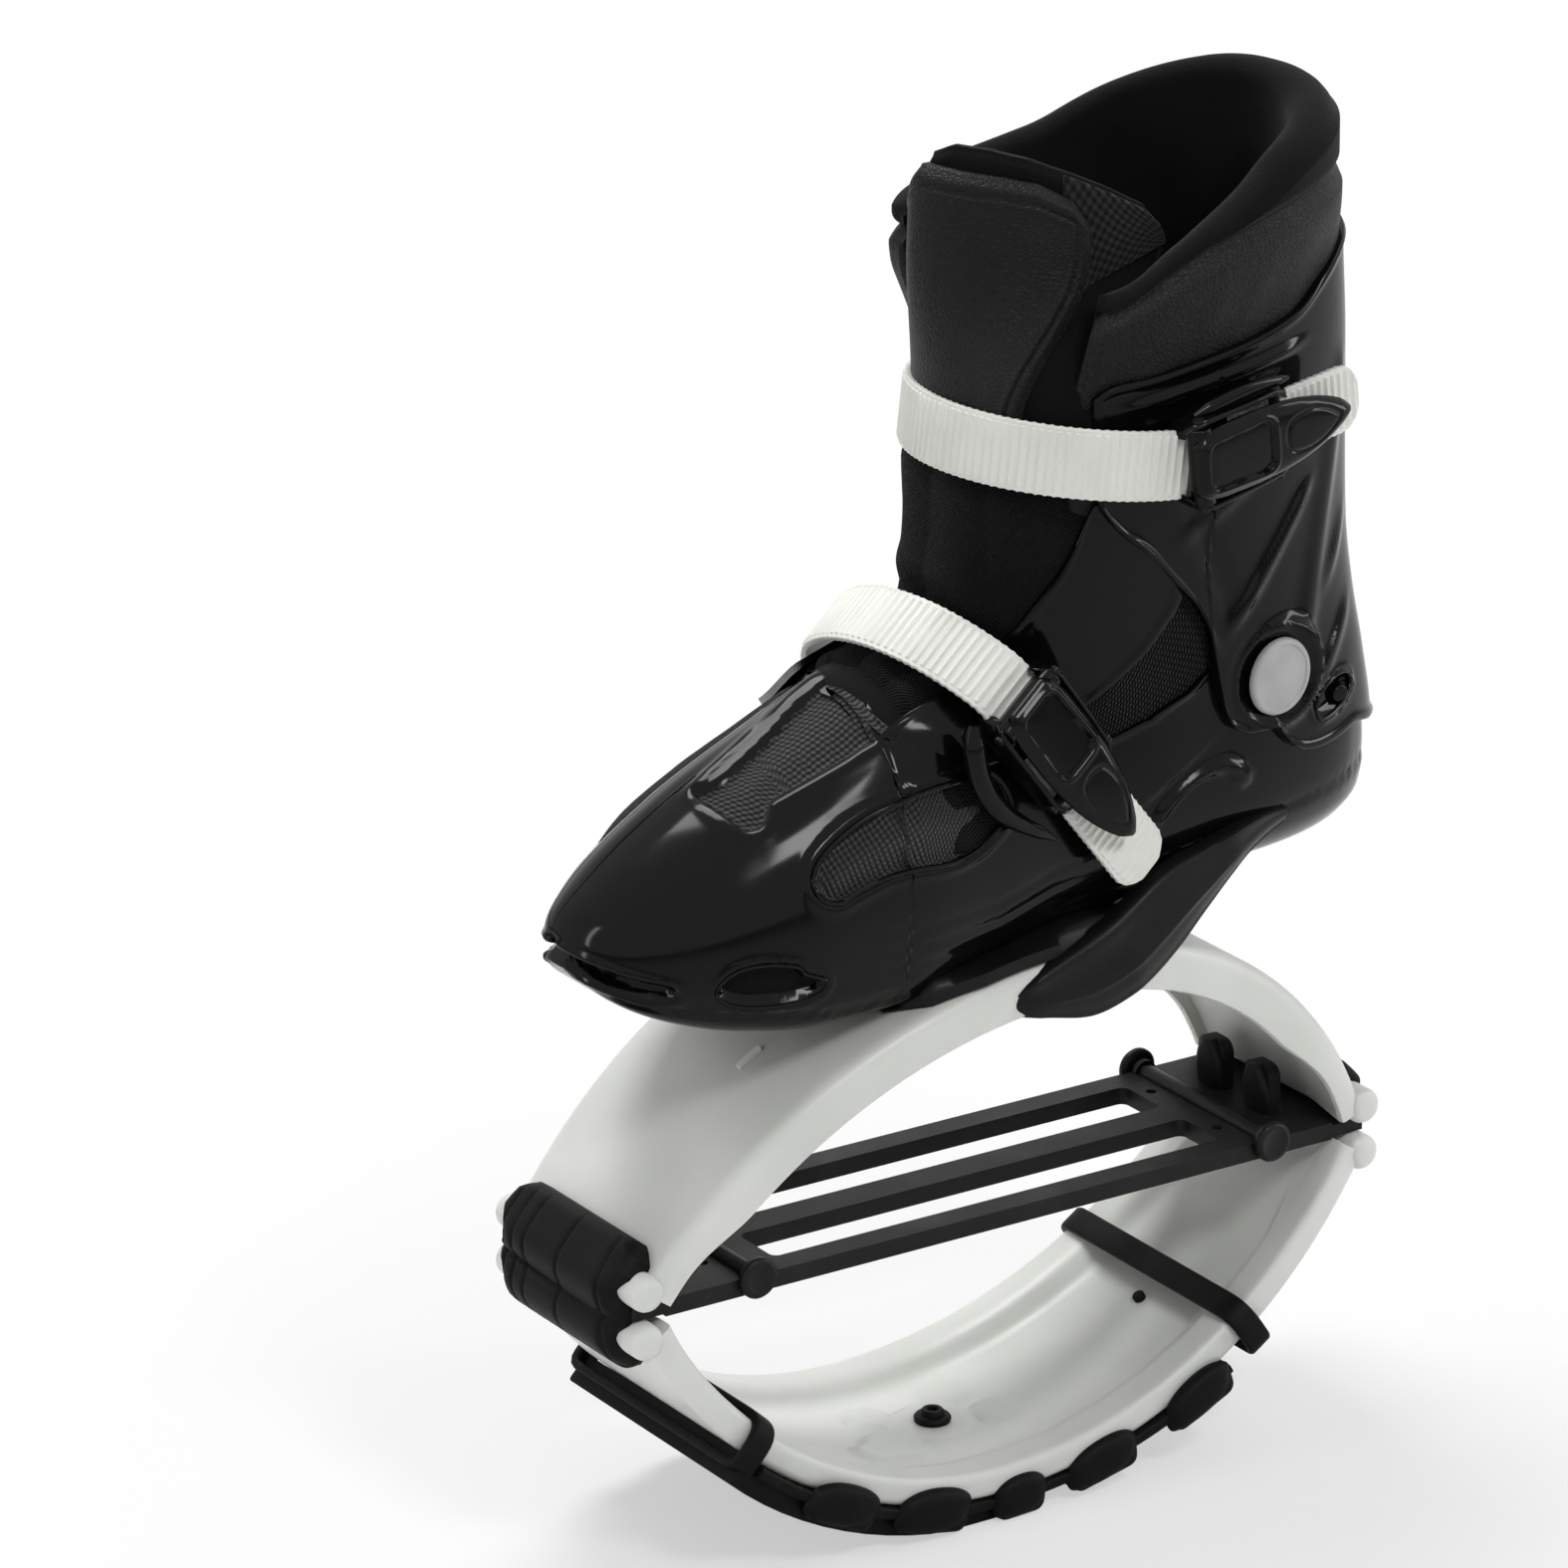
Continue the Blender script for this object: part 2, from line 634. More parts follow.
upper_patches = with_bead_ends(carried(*bow(UPPER_APEX, UPPER_BEAD_Z, UPPER_CORNERS, UPPER_RADII, 8.5)),
                               UPPER_BEAD_Z)
spots, ways = bow_path(UPPER_APEX, UPPER_BEAD_Z, 200)
on = np.abs(spots[:, 0] - MARK_X) < MARK_HALF
mark = np.stack([spots[on, 0], np.full(on.sum(), MARK_Y), spots[on, 1]], -1)
upper_patches.append(rope(mark, MARK_RADIUS, flatten=0.45, up=(0, 1, 0)))
upper_spring = piece("upper_bow", upper_patches, WHITE, None, ("upper_arc",))
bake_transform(upper_spring)

points, inward, across, depth = bow(LOWER_APEX, LOWER_BEAD_Z, LOWER_CORNERS, LOWER_RADII, 10.0)
island = np.zeros_like(across)
for x, y, radius in ISLANDS:
    island = np.maximum(island, smooth_step(radius - np.hypot(points[:, :1] - x, across - y), -1.2, 1.2))
depth = depth + 1.7 * island * (smooth_step(FLOOR_HALF - np.abs(across), 0, 3) * (depth < 7) * (depth > 2.5))
lower_bow = carried(points, inward, across, depth)
lower_spring = piece("lower_bow", with_bead_ends(lower_bow, LOWER_BEAD_Z), WHITE, None, ("lower_arc",))
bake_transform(lower_spring)


def at_lower(x):
    """Point, direction along and direction into the lower bow at x."""
    spots, ways = bow_path(LOWER_APEX, LOWER_BEAD_Z, 400)
    k = np.argmin(np.abs(spots[:, 0] - x))
    return spots[k], np.array([ways[k, 1], -ways[k, 0]]), ways[k]


def on_lower(x, distance, across, depth):
    """Points by the lower bow: distances along it from x, across it and into it, as grids."""
    spot, way, inward = at_lower(x)
    return np.stack([spot[0] + distance * way[0] + depth * inward[0], across,
                     spot[1] + distance * way[1] + depth * inward[1]], -1)


def above_ground(grid, ground=0.0):
    grid[..., 2] = np.maximum(grid[..., 2], ground)
    return tube(grid)


def lug(x, length, rise, lean, drop=9.5):
    """A tread lug: a pad across under the bow and a domed, D-shaped cheek up each side of it."""
    a = np.linspace(0, 2 * pi, 44, endpoint=False)
    hump = np.stack([signed_power(np.cos(a), 0.9) * length / 2,
                     np.where(np.sin(a) > 0, np.sin(a) * rise, signed_power(np.sin(a), 0.45) * drop)], -1)
    hump[:, 0] += lean * hump[:, 1]
    swell = np.linspace(0.05, 1, 9)
    share = np.concatenate([swell, [0.985, 0.9]])
    out = np.concatenate([3.6 * (1 - swell ** 3.2) ** 0.5, [-1.2, -2.5]])[:, None]
    flat = hump[None] * share[:, None, None]
    patches = [above_ground(on_lower(x, flat[..., 0], side * (LUG_HALF + out) + 0 * flat[..., 0],
                                     flat[..., 1]))
               for side in (1, -1)]
    under = rounded([(-length / 2, -0.4), (length / 2, -0.4), (length / 2 - 1, -drop),
                     (1 - length / 2, -drop)],
                    (1, 1, 4, 4), 5)
    across = np.array([-56, -55, -52, -20, 20, 52, 55, 56.0])[:, None]
    shrink = np.array([0.86, 0.97, 1, 1, 1, 1, 0.97, 0.86])
    flat = under[None] * shrink[:, None, None]
    return patches + [above_ground(on_lower(x, flat[..., 0], across + 0 * flat[..., 0], flat[..., 1]))]


def lower_strip(low, high, bottom, half, rows=50):
    """A strip under the lower bow, down to a depth, with round corners."""
    spots, ways = bow_path(LOWER_APEX, LOWER_BEAD_Z, rows, low, high)
    profile = rounded([(-half, -0.3), (half, -0.3), (half, bottom), (-half, bottom)], (1, 1, 1.5, 1.5), 4)
    ones = np.ones((len(spots), 1))
    return above_ground(carried(spots, ways, profile[:, 0] * ones, profile[:, 1] * ones), 0.2)


sole_patches = [lower_strip(-88, 112, -4.4, 54.6), lower_strip(98, 117, -11.5, 51.5, 14)]
for lug_row in LUGS:
    sole_patches += lug(*lug_row)
piece("tread_sole", sole_patches, RUBBER, "sole_unit", ("outsole",))


def sole_band(name, node, x):
    """A flat loop round the bow: a rounded section carried round a rounded rectangle of (across, depth)."""
    half = float(bow_half(np.array(abs(x) - 10.0))) + 2.1
    path = resample(rounded([(-half, -5.6), (half, -5.6), (half, 13), (-half, 13)], (4, 4, 9, 9), 8), 120,
                    True)
    way = along(path, True)
    out = np.stack([way[:, 1], -way[:, 0]], -1)
    section = rounded([(-5, -1.8), (5, -1.8), (5, 1.8), (-5, 1.8)], (1.3,) * 4, 4)
    swell = 1 + 0.10 * np.cos(section[:, 0] / 5 * pi)
    flat = path[:, None] + out[:, None] * (section[:, 1] * swell)[None, :, None]
    grid = on_lower(x, section[None, :, 0], flat[..., 0], flat[..., 1])
    piece(name, [tube(grid, True)], RUBBER, "sole_unit", (node,))


sole_band("front_band", "sole_band_front", FRONT_BAND_X)
sole_band("rear_band", "sole_band_rear", REAR_BAND_X)

# Turned parts: (radius, distance along the axis).
BOLT = [
    (6.6, -2.6), (6.8, -1.2), (6.2, -0.4), (4.4, -0.1), (4.2, 1.3), (3.6, 1.9), (2.2, 1.9), (1.9, 1.2),
    (1.7, -1.5), (0.1, -1.6),
]
PIN = [(2.3, -3), (2.3, 2.2), (1.8, 2.7), (0.1, 2.8)]
ROD_HEAD = [
    (0.1, 0.4), (5.8, 0.4), (6.9, 0.7), (7.5, 1.5), (7.5, 2.9), (6.9, 3.7), (5.9, 4.0), (5.2, 4.0),
    (4.9, 3.8), (0.1, 3.9),
]
ROD_COLLAR = [(0.1, 0), (4.6, 0), (4.6, 2.2), (4.0, 2.7), (0.1, 2.7)]
RIVET_HEAD = [
    (4, -8), (4, -0.4), (14.0, -0.4), (14.0, 0.7), (13.5, 1.6), (12.7, 2.0), (12.0, 1.9), (11.5, 1.35),
    (10.9, 1.3), (7, 1.5), (0.1, 1.6),
]
bolt_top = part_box("sole_bolt")[1][2] / MM
piece("bow_bolt", [turned(BOLT, (3.3, 0, bolt_top - 1.6), (0, 0, 1), 44)], RUBBER, "sole_unit",
      ("sole_bolt",))
piece("bow_pin", [turned(PIN, (-88.1, 0, 41.2), (0.507, 0, 0.862), 24)], RUBBER, "sole_unit", ())


def repaint(node, finish):
    """Give a carried-over CAD node its finish."""
    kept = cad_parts[node]
    kept.data.materials.clear()
    kept.data.materials.append(finish)


# The tension plate keeps its CAD shape, with its edges eased and its two stops dressed as leaves.
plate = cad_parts["tension_plate"]
BEVEL = {"width": 0.0007, "segments": 2, "limit_method": "ANGLE", "angle_limit": radians(50),
         "use_clamp_overlap": True}
for kind, settings in (("WELD", {"merge_threshold": 1e-5}), ("BEVEL", BEVEL)):
    modifier = plate.modifiers.new(kind.lower(), kind)
    for key, value in settings.items():
        setattr(modifier, key, value)
repaint("tension_plate", PLATE)
LEAF_X, LEAF_Y, LEAF_Z, LEAF_HEIGHT = -130, 14, 111, 19.5
rows = np.linspace(0, 1, 16)[:, None]
half_y = 7.6 * np.sin(pi * np.clip(rows * 0.62 + 0.30, 0, 1)) ** 0.8
half_x = 4.2 - 1.6 * rows ** 2
a = np.linspace(0, 2 * pi, 28, endpoint=False)
piece("plate_leaves", [tube(np.stack([LEAF_X + 3 * rows + half_x * signed_power(np.cos(a), 0.6),
                                      y + half_y * signed_power(np.sin(a), 0.7),
                                      LEAF_Z + LEAF_HEIGHT * rows + 0 * a], -1)) for y in (-LEAF_Y, LEAF_Y)],
      PLATE, "spring_frame", ())

ROD_Z, ROD_HALF, HEAD_Y, COLLAR_Y = 111.75, 40.5, 38.9, 35.6
for name, node, x in (("front_rod", "front_cross_rod", 106.5), ("rear_rod", "rear_cross_rod", -114.5)):
    patches = [bar((x, -ROD_HALF, ROD_Z), (x, ROD_HALF, ROD_Z), 3.3, 0.8)]
    for side in (1, -1):
        patches.append(turned(ROD_HEAD, (x, side * HEAD_Y, ROD_Z), (0, side, 0), 40))
        patches.append(turned(ROD_COLLAR, (x, side * COLLAR_Y, ROD_Z), (0, side, 0), 30))
    piece(name, patches, ROD, "spring_frame", (node,))

# The caps: a line (x, z) down the springs' ends, and the half width at shares of it.
CAP_LINE = [
    (148.8, 131.5), (150.6, 129.0), (152.9, 126.0), (156.4, 122.0), (159.4, 117.5), (158.9, 112.5),
    (158.4, 108.5), (158.9, 104.5), (159.4, 99.5), (156.8, 95.5), (152.8, 92.0), (150.2, 89.0),
    (147.4, 86.0),
]
CAP_HALF = np.array([
    (0, 30), (0.03, 33), (0.10, 37.5), (0.24, 39.5), (0.28, 37.5), (0.33, 34.5), (0.38, 35), (0.44, 38),
    (0.56, 38), (0.62, 35), (0.67, 34), (0.72, 36), (0.76, 38), (0.90, 36), (1, 31),
])
CAP_RIBS = (-37, -31, -24.5, -17, 4, 30)


def bumper(name, node, side, narrow, full):
    """A ribbed rubber cap: a line down the springs' ends, with a width and a thickness along it."""
    path = curve_through(CAP_LINE, 90)
    way = along(path)
    out = np.stack([-way[:, 1], way[:, 0]], -1)
    t = np.linspace(0, 1, 90)
    half = np.interp(t, CAP_HALF[:, 0], CAP_HALF[:, 1] - narrow)
    t = t[:, None]
    v = np.linspace(-1, 1, 110)
    across = half[:, None] * v
    thick = full * (1 - np.abs(v) ** 16) * (1 - (2 * np.abs(t - 0.5)) ** 14) + 0.5
    rib = np.zeros_like(across)
    for y in CAP_RIBS:
        rib += ridge(across - y - 6 * (t - 0.5) * (y > 10), 0.75)
    thick = thick - 1.0 * rib * smooth_step(1 - np.abs(2 * t - 1), 0.02, 0.14)
    thick = thick - 1.3 * ridge(t - 0.5 - 0.0012 * across, 0.028)
    thick = np.maximum(thick + 0.5 * smooth_step(np.abs(t - 0.5), 0.05, 0.12), 0.3)

    def layer(distance):
        return np.stack([side * (path[:, :1] + out[:, :1] * distance), across,
                         path[:, 1:] + out[:, 1:] * distance], -1)

    piece(name, [slab(layer(thick), layer(np.full_like(thick, -5.0)))], RUBBER, "spring_frame", (node,),
          sharp=50)


bumper("front_cap", "toe_bumper", 1, 0, 5.4)
bumper("rear_cap", "heel_bumper", -1, 4, 3.6)

# Boot form: a foot and a leg, joined with a soft fillet.
# Foot rows: x, lowest, highest, half width. Leg rows: height, back, front, half width, widest place.
FOOT = np.array([
    (-168, 243, 264, 6), (-150, 236.5, 276, 26), (-127.9, 231, 285.1, 35), (-100, 225.5, 305.1, 41),
    (-69.9, 218.5, 312.1, 43), (-24.9, 212, 318.1, 45), (9.8, 206, 321.5, 49), (48, 199.5, 310.1, 53),
    (80.1, 199.3, 295.2, 53.5), (110.1, 202.6, 281, 49), (135, 209, 266, 40.5), (152, 217, 253, 29.5),
    (161.9, 226.5, 243.5, 15.5), (165, 233, 237, 2),
])
LEG = np.array([
    (217, -146, -50, 20, 0.5), (220, -160, -45, 27, 0.5), (224, -167, -40, 31, 0.5),
    (232, -172.5, -32, 36, 0.5), (246, -173.6, -15, 41, 0.5), (262.2, -172, -4.9, 43, 0.5),
    (285.1, -167.5, 5.1, 44, 0.5), (310, -162, 12, 45, 0.52), (335.2, -158, 15, 46.5, 0.54),
    (372.1, -155.5, 12.8, 49, 0.56), (410.2, -153, 12, 51, 0.54), (450, -149.5, 12, 51.6, 0.5),
    (511, -148.5, 12, 49, 0.47),
])
NOSE_X, HEEL_X, LEG_FOOT = 165, -166, 217
# The height of the foot's widest line and the flat part of its sole, as shares of its height and half width.
WIDEST_SHARE, FLAT_SHARE = 0.38, 0.66
FILLET = 9.0
# Where the nose leans to the outer side, and how far its far side is drawn in.
LEAN_FROM, LEAN_TO, LEAN_SHARE = 112, 164, 0.42


def smooth_rows(at, rows, column, keys):
    """Interpolate a table's column without overshoot: cubic Hermite pieces with limited slopes."""
    values = rows[:, column]
    span, rise = np.diff(keys), np.diff(values)
    slope = rise / span
    inner = np.where(slope[1:] * slope[:-1] > 0,
                     2 * slope[1:] * slope[:-1] / (slope[1:] + slope[:-1] + 1e-12), 0)
    tangents = np.concatenate([slope[:1], inner, slope[-1:]])
    at = np.clip(at, keys[0], keys[-1])
    k = np.clip(np.searchsorted(keys, at) - 1, 0, len(keys) - 2)
    t = (at - keys[k]) / span[k]
    return ((2 * t ** 3 - 3 * t ** 2 + 1) * values[k] + (t ** 3 - 2 * t ** 2 + t) * span[k] * tangents[k]
            + (3 * t ** 2 - 2 * t ** 3) * values[k + 1] + (t ** 3 - t ** 2) * span[k] * tangents[k + 1])


def foot_level(x, y, z, grow):
    """Distance-like level of the foot's form: a flat sole with round corners and a dome above."""
    keys = -np.sqrt(NOSE_X + 0.5 - FOOT[:, 0])
    at = -np.sqrt(np.maximum(NOSE_X + 0.5 + grow - x, 0.01))
    low, high, half = (smooth_rows(at, FOOT, k, keys) for k in (1, 2, 3))
    low, half = low - grow, np.maximum(half + grow, 0.6)
    high = np.maximum(high + grow, low + 1.2)
    widest = low + WIDEST_SHARE * (high - low)
    flat = FLAT_SHARE * half
    above = z > widest
    wide = np.where(above, np.abs(y) / half, np.maximum(np.abs(y) - flat, 0) / (half - flat))
    tall = np.where(above, (z - widest) / (high - widest), (widest - z) / (widest - low))
    power = np.where(above, 2.15, 2.2)
    level = (wide ** power + np.abs(tall) ** power) ** (1 / power)
    size = np.where(above, half, half - flat)
    return (level - 1) * size + np.maximum(HEEL_X - grow - x, 0) * 2 + np.maximum(x - NOSE_X - grow, 0) * 2


def leg_level(x, y, z, grow):
    """Distance-like level of the leg's form: an oval at each height, squarer in front."""
    back, front, half, share = (smooth_rows(z, LEG, k, LEG[:, 0]) for k in (1, 2, 3, 4))
    back, front, half = back - grow, front + grow, half + grow
    middle = back + share * (front - back)
    ahead = x > middle
    run = np.where(ahead, (x - middle) / (front - middle), (middle - x) / (middle - back))
    power = np.where(ahead, 2.5, 2.15)
    level = (run ** power + (np.abs(y) / half) ** power) ** (1 / power)
    return (level - 1) * half + np.maximum(LEG_FOOT - grow - z, 0) * 3


def boot_level(x, y, z, grow):
    """The foot and the leg together, with a fillet between them."""
    a, b = foot_level(x, y, z, grow), leg_level(x, y, z, grow)
    h = np.maximum(FILLET - np.abs(a - b), 0) / FILLET
    return np.minimum(a, b) - h * h * FILLET / 4


def leg_middle(height):
    return (smooth_rows(height, LEG, 1, LEG[:, 0]) + smooth_rows(height, LEG, 2, LEG[:, 0])) / 2


def upright(x, z):
    """Points on the middle plane."""
    return np.stack([x, 0 * x, z], -1)


def reach_out(start, way, grow, level=boot_level, far=230.0):
    """Follow rays from inside a form to its surface, halving the step each time."""
    low, high = np.zeros(start.shape[:-1]), np.full(start.shape[:-1], far)
    for _ in range(32):
        middle = (low + high) / 2
        p = start + way * middle[..., None]
        inside = level(p[..., 0], p[..., 1], p[..., 2], grow) < 0
        low, high = np.where(inside, middle, low), np.where(inside, high, middle)
    return start + way * low[..., None]


# The boot is a bent tube. Its sections stand square to X along the foot, turn about a pivot in front of the
# ankle and lie level up the leg.
PIVOT = np.array([45.0, 345.0])
TURN_START, TURN_LENGTH = 120, 160
TURN_END = TURN_START + TURN_LENGTH
# The cuff's hinge (x, z).
HINGE = np.array([-106.5, 292.1])


def spine(stations):
    """Middles and outward directions (x, z) of the sections. Stations are millimetres from the toe to the
    pivot, then the turn, then millimetres up the leg."""
    turn = np.clip((stations - TURN_START) / TURN_LENGTH, 0, 1) * pi / 2
    way = np.stack([-np.sin(turn), -np.cos(turn)], -1)
    base = np.stack([np.where(stations < TURN_START, NOSE_X - stations, PIVOT[0]),
                     np.where(stations > TURN_END, PIVOT[1] + stations - TURN_END, PIVOT[1])], -1)
    t = np.linspace(0, 240, 481)
    samples = base[:, None] + way[:, None] * t[None, :, None]
    solid = boot_level(samples[..., 0], 0 * samples[..., 0], samples[..., 1], 0.0) < 0
    first = t[np.argmax(solid, 1)]
    last = t[len(t) - 1 - np.argmax(solid[:, ::-1], 1)]
    middle = base + way * ((first + last) / 2)[:, None]
    return middle, way


def around(stations, angles, grow):
    """Surface points at sections and angles. Angle 0 is the sole or the back, pi the top or the front, and
    the outer side is positive. Angles may differ from section to section."""
    middle, way = spine(stations)
    angles = np.broadcast_to(angles, (len(stations), np.shape(angles)[-1]))
    start = upright(middle[:, 0], middle[:, 1])[:, None] + np.zeros(angles.shape + (1,))
    out = np.stack([np.cos(angles) * way[:, :1], np.sin(angles), np.cos(angles) * way[:, 1:]], -1)
    points = reach_out(start, out, grow)
    lean = np.where(points[..., 1] < 0, LEAN_SHARE * smooth_step(points[..., 0], LEAN_FROM, LEAN_TO), 0)
    points[..., 1] *= 1 - lean
    return points


def side_point(x, z, grow, side=1, level=boot_level):
    """The form's surface point on one side, for side-view places."""
    x, z = np.broadcast_arrays(np.asarray(x, float), np.asarray(z, float))
    start = upright(x, z)
    way = np.broadcast_to(np.array([0.0, side, 0.0]), start.shape)
    return reach_out(start, way, grow, level, 90.0)


def edge_angles(stations, inside, side, count=361):
    """For each section, the angle where its surface leaves a region on one side, counted from the sole."""
    angles = np.linspace(0, pi, count)
    out = ~inside(around(stations, side * angles, 0.0))
    out[:, 0] = False
    k = np.argmax(out, 1)
    return np.where(out.any(1), angles[np.maximum(k, 1)] - (angles[1] - angles[0]) / 2, pi)


def soften(values, width):
    """Running mean, with the ends held."""
    padded = np.concatenate([np.full(width, values[0]), values, np.full(width, values[-1])])
    kernel = np.ones(2 * width + 1) / (2 * width + 1)
    return np.convolve(padded, kernel, "same")[width:-width]


def lengths(points):
    """A flat map of a grid: distances along its rows and columns, in tenths of a metre."""
    row = np.linalg.norm(np.diff(points, axis=0), axis=-1)
    column = np.linalg.norm(np.diff(points, axis=1), axis=-1)
    middle = points.shape[1] // 2
    down = np.concatenate([np.zeros((1,)), np.cumsum(row[:, middle])])
    over = np.concatenate([np.zeros((points.shape[0], 1)), np.cumsum(column, 1)], 1)
    over = over - over[:, middle:middle + 1]
    return np.stack([over, down[:, None] + 0 * over], -1) / 100


def doubled(points):
    """The flat map of a slab: its outer grid's, and the same again for its inner grid."""
    flat = lengths(points)
    return np.concatenate([flat, flat[:, ::-1]], 1).reshape(-1, 2)


def normals(points):
    """Unit normals of a grid, away from its middle line."""
    a, b = np.gradient(points, axis=0), np.gradient(points, axis=1)
    n = np.cross(a, b)
    n /= np.linalg.norm(n, axis=-1, keepdims=True) + 1e-12
    centre = points.mean(1, keepdims=True)
    return n * np.sign(np.sum(n * (points - centre), -1, keepdims=True) + 1e-12)


# Lower shell: its upper edge in side view.
SHELL_TOP = [
    (70, 330), (58, 311), (46, 305), (25, 301), (5, 292), (-12, 285), (-26, 280), (-40, 281.5),
    (-50, 285.5), (-60, 289), (-70, 293), (-80, 301), (-110, 304), (-140, 302), (-180, 298),
][::-1]
WALL = 2.6
# The throat's front end, its lowest height and near side, and its far side as x and y.
THROAT_X, THROAT_Z, THROAT_Y = 52, 285, 31.5
THROAT_FAR = [(-20, -30), (20, -22), (46, -9), (THROAT_X, -3)]


def in_shell(p):
    """Below the upper edge in side view, and outside the throat, which lies nearer the outer side."""
    x, y, z = np.moveaxis(p, -1, 0)
    top = read(SHELL_TOP, x)
    far_lip = read(THROAT_FAR, x)
    throat = (x < THROAT_X) & (z > THROAT_Z) & (y < THROAT_Y) & (y > far_lip)
    return (z < top) & ~throat


stations = np.concatenate([[0.4, 1.2, 2.5], np.linspace(4, 112, 100), np.linspace(113, 280, 130)])
near_edge, far_edge = (edge_angles(stations, in_shell, side) for side in (1, -1))
open_from = int(np.argmax(near_edge < pi))
for edge in (near_edge, far_edge):
    edge[open_from:] = soften(edge[open_from:], 3)
columns = np.linspace(-1, 1, 201)
shell_out = around(stations, np.where(columns < 0, far_edge[:, None], near_edge[:, None]) * columns, 0.0)
shell_normal = normals(shell_out)

SIDE_WINDOW = curve_through([
    (91, 255.2), (89.3, 260.4), (84.6, 265), (75.8, 270), (66.2, 273.9), (55.5, 276.6), (44.8, 278.7),
    (32.6, 279.9), (20, 280.2), (12.3, 274.2), (10.3, 264.5), (18, 258.1), (27.1, 254.3), (37.5, 253.2),
    (50.1, 254.1), (62.3, 253.7), (73.2, 251.2), (81.4, 248.7), (87.5, 250.3),
], 130, True)
TOP_WINDOW = curve_through([
    (111, 5.5), (108, 8.5), (104, 9.8), (96.6, 9.6), (80.8, 6.7), (68.8, 3.6), (58.7, 2.1), (46, 2),
    (38, 16), (42.9, 31.1), (62.5, 31.9), (75.3, 30.9), (88.1, 29.6), (95, 29), (97.5, 31.5), (100.1, 33),
    (104.1, 32.6), (107.2, 29.8), (109.6, 21.9), (111.5, 12),
], 130, True)
VENT = curve_through([
    (126, 223), (122.2, 228.2), (115.6, 230.6), (106.3, 230.4), (98, 228.3), (95, 225.2), (87, 221.4),
    (88, 217.2), (96.4, 214.8), (107, 214.4), (116.5, 215.6), (123.5, 218.7),
], 90, True)
TOE_SLOT = curve_through([
    (-37, 222), (-36, 225.5), (-22, 231), (0, 234), (13, 232.7), (23, 230.6), (32, 227.6), (37.5, 225.2),
    (38, 222), (35, 219.6), (31, 220.8), (23.9, 223.8), (12, 226.6), (0, 228), (-22, 224.5), (-33, 219.5),
], 90, True)
CRESCENT = curve_through([
    (-54, 243), (-57.5, 252), (-64.9, 258.4), (-72.6, 263.2), (-79.2, 265.4), (-86.5, 265.4),
    (-93.6, 261.8), (-97.5, 256.1), (-96.4, 251.8), (-91, 254.4), (-85.5, 258.2), (-79, 259.3),
    (-71.5, 257), (-65.2, 252.6), (-59.5, 247),
], 90, True)
# The moulding seam in side view.
SEAM_LINE = [
    (-170, 243), (-120, 239), (-60, 231), (-14, 222), (11, 212), (50, 205), (72, 205.3), (100, 209.7),
    (123, 213.2), (139, 216.3), (153, 222.4), (162, 229.6), (170, 236),
]
x, y, z = np.moveaxis(shell_out, -1, 0)
side_view, plan_view, front_view = np.stack([x, z], -1), np.stack([x, y], -1), np.stack([y, z], -1)
OUTSIDE = -50
on_side = np.abs(y) > 20
depth_side = np.where(on_side, inside_depth(side_view, SIDE_WINDOW), OUTSIDE)
depth_top = np.where(z > 262, inside_depth(plan_view, TOP_WINDOW), OUTSIDE)
depth_vent = np.where((np.abs(y) > 18) & (z < 240), inside_depth(side_view, VENT), OUTSIDE)
depth_toe = np.where((x > 120) & (z < 240), inside_depth(front_view, TOE_SLOT), OUTSIDE)
depth_crescent = np.where(on_side, inside_depth(side_view, CRESCENT), OUTSIDE)
push = -2.6 * smooth_step(depth_side, -0.3, 1.1) - 2.8 * smooth_step(depth_top, -0.7, 1.3)
push += 1.5 * smooth_step(depth_side, 2, 14) + 0.8 * smooth_step(depth_top, 2, 12)
push += 1.3 * ridge(depth_side + 2.3, 1.5) + 0.25 * ridge(depth_top + 2.6, 1.8)
push -= 5.0 * smooth_step(depth_vent, -0.8, 3.0) + 4.5 * smooth_step(depth_toe, -0.6, 2.0)
push += 0.7 * ridge(depth_vent + 1.6, 1.3) + 0.7 * ridge(depth_toe + 1.4, 1.2)
# A long flange stands up along the far side of the crown, from the throat to the middle of the window.
flange_y = np.interp(x, [46, 60, 80, 100, 118], [-3.5, -1.5, 2.5, 5.5, 8])
push += (1.6 * ridge(y - flange_y + 2.5, 2.6) * smooth_step(z, 262, 272) * smooth_step(x, 40, 58)
         * smooth_step(118 - x, 0, 16))
seam_z = read(SEAM_LINE, x)
push -= 0.55 * ridge(z - seam_z, 0.8)
push += 0.6 * smooth_step(seam_z - z, 0, 1.2)
push += 2.2 * smooth_step(depth_crescent, -0.6, 2.2)
crease = (x + 54.5) * 0.527 + (z - 256.3) * 0.85
push += (0.7 * smooth_step(crease, -0.8, 0.8) * smooth_step(90 + x, 0, 30) * smooth_step(-40 - x, 0, 18)
         * on_side)
for offset, size in ((8, 0.5), (15, 0.45), (22, 0.35)):
    groove = z - seam_z - offset - 0.16 * (x - 20)
    push -= size * ridge(groove, 1.2) * smooth_step(62 - np.abs(x - 22), 0, 34)
push -= (5.0 * smooth_step(-y, 2, 26) * smooth_step(z, 236, 262) * smooth_step(x, 20, 62)
         * smooth_step(168 - x, 0, 50))
lip = smooth_step(np.abs(columns), 0.965, 0.985) * (np.minimum(near_edge, far_edge) < pi - 0.01)[:, None]
push += 0.6 * lip * (depth_top < 0)
shell_shape = shell_out + shell_normal * push[..., None]
shell_inner = shell_shape - shell_normal * WALL
window = np.maximum(smooth_step(depth_side, 0.2, 1.0), smooth_step(depth_top, 0.2, 1.0))


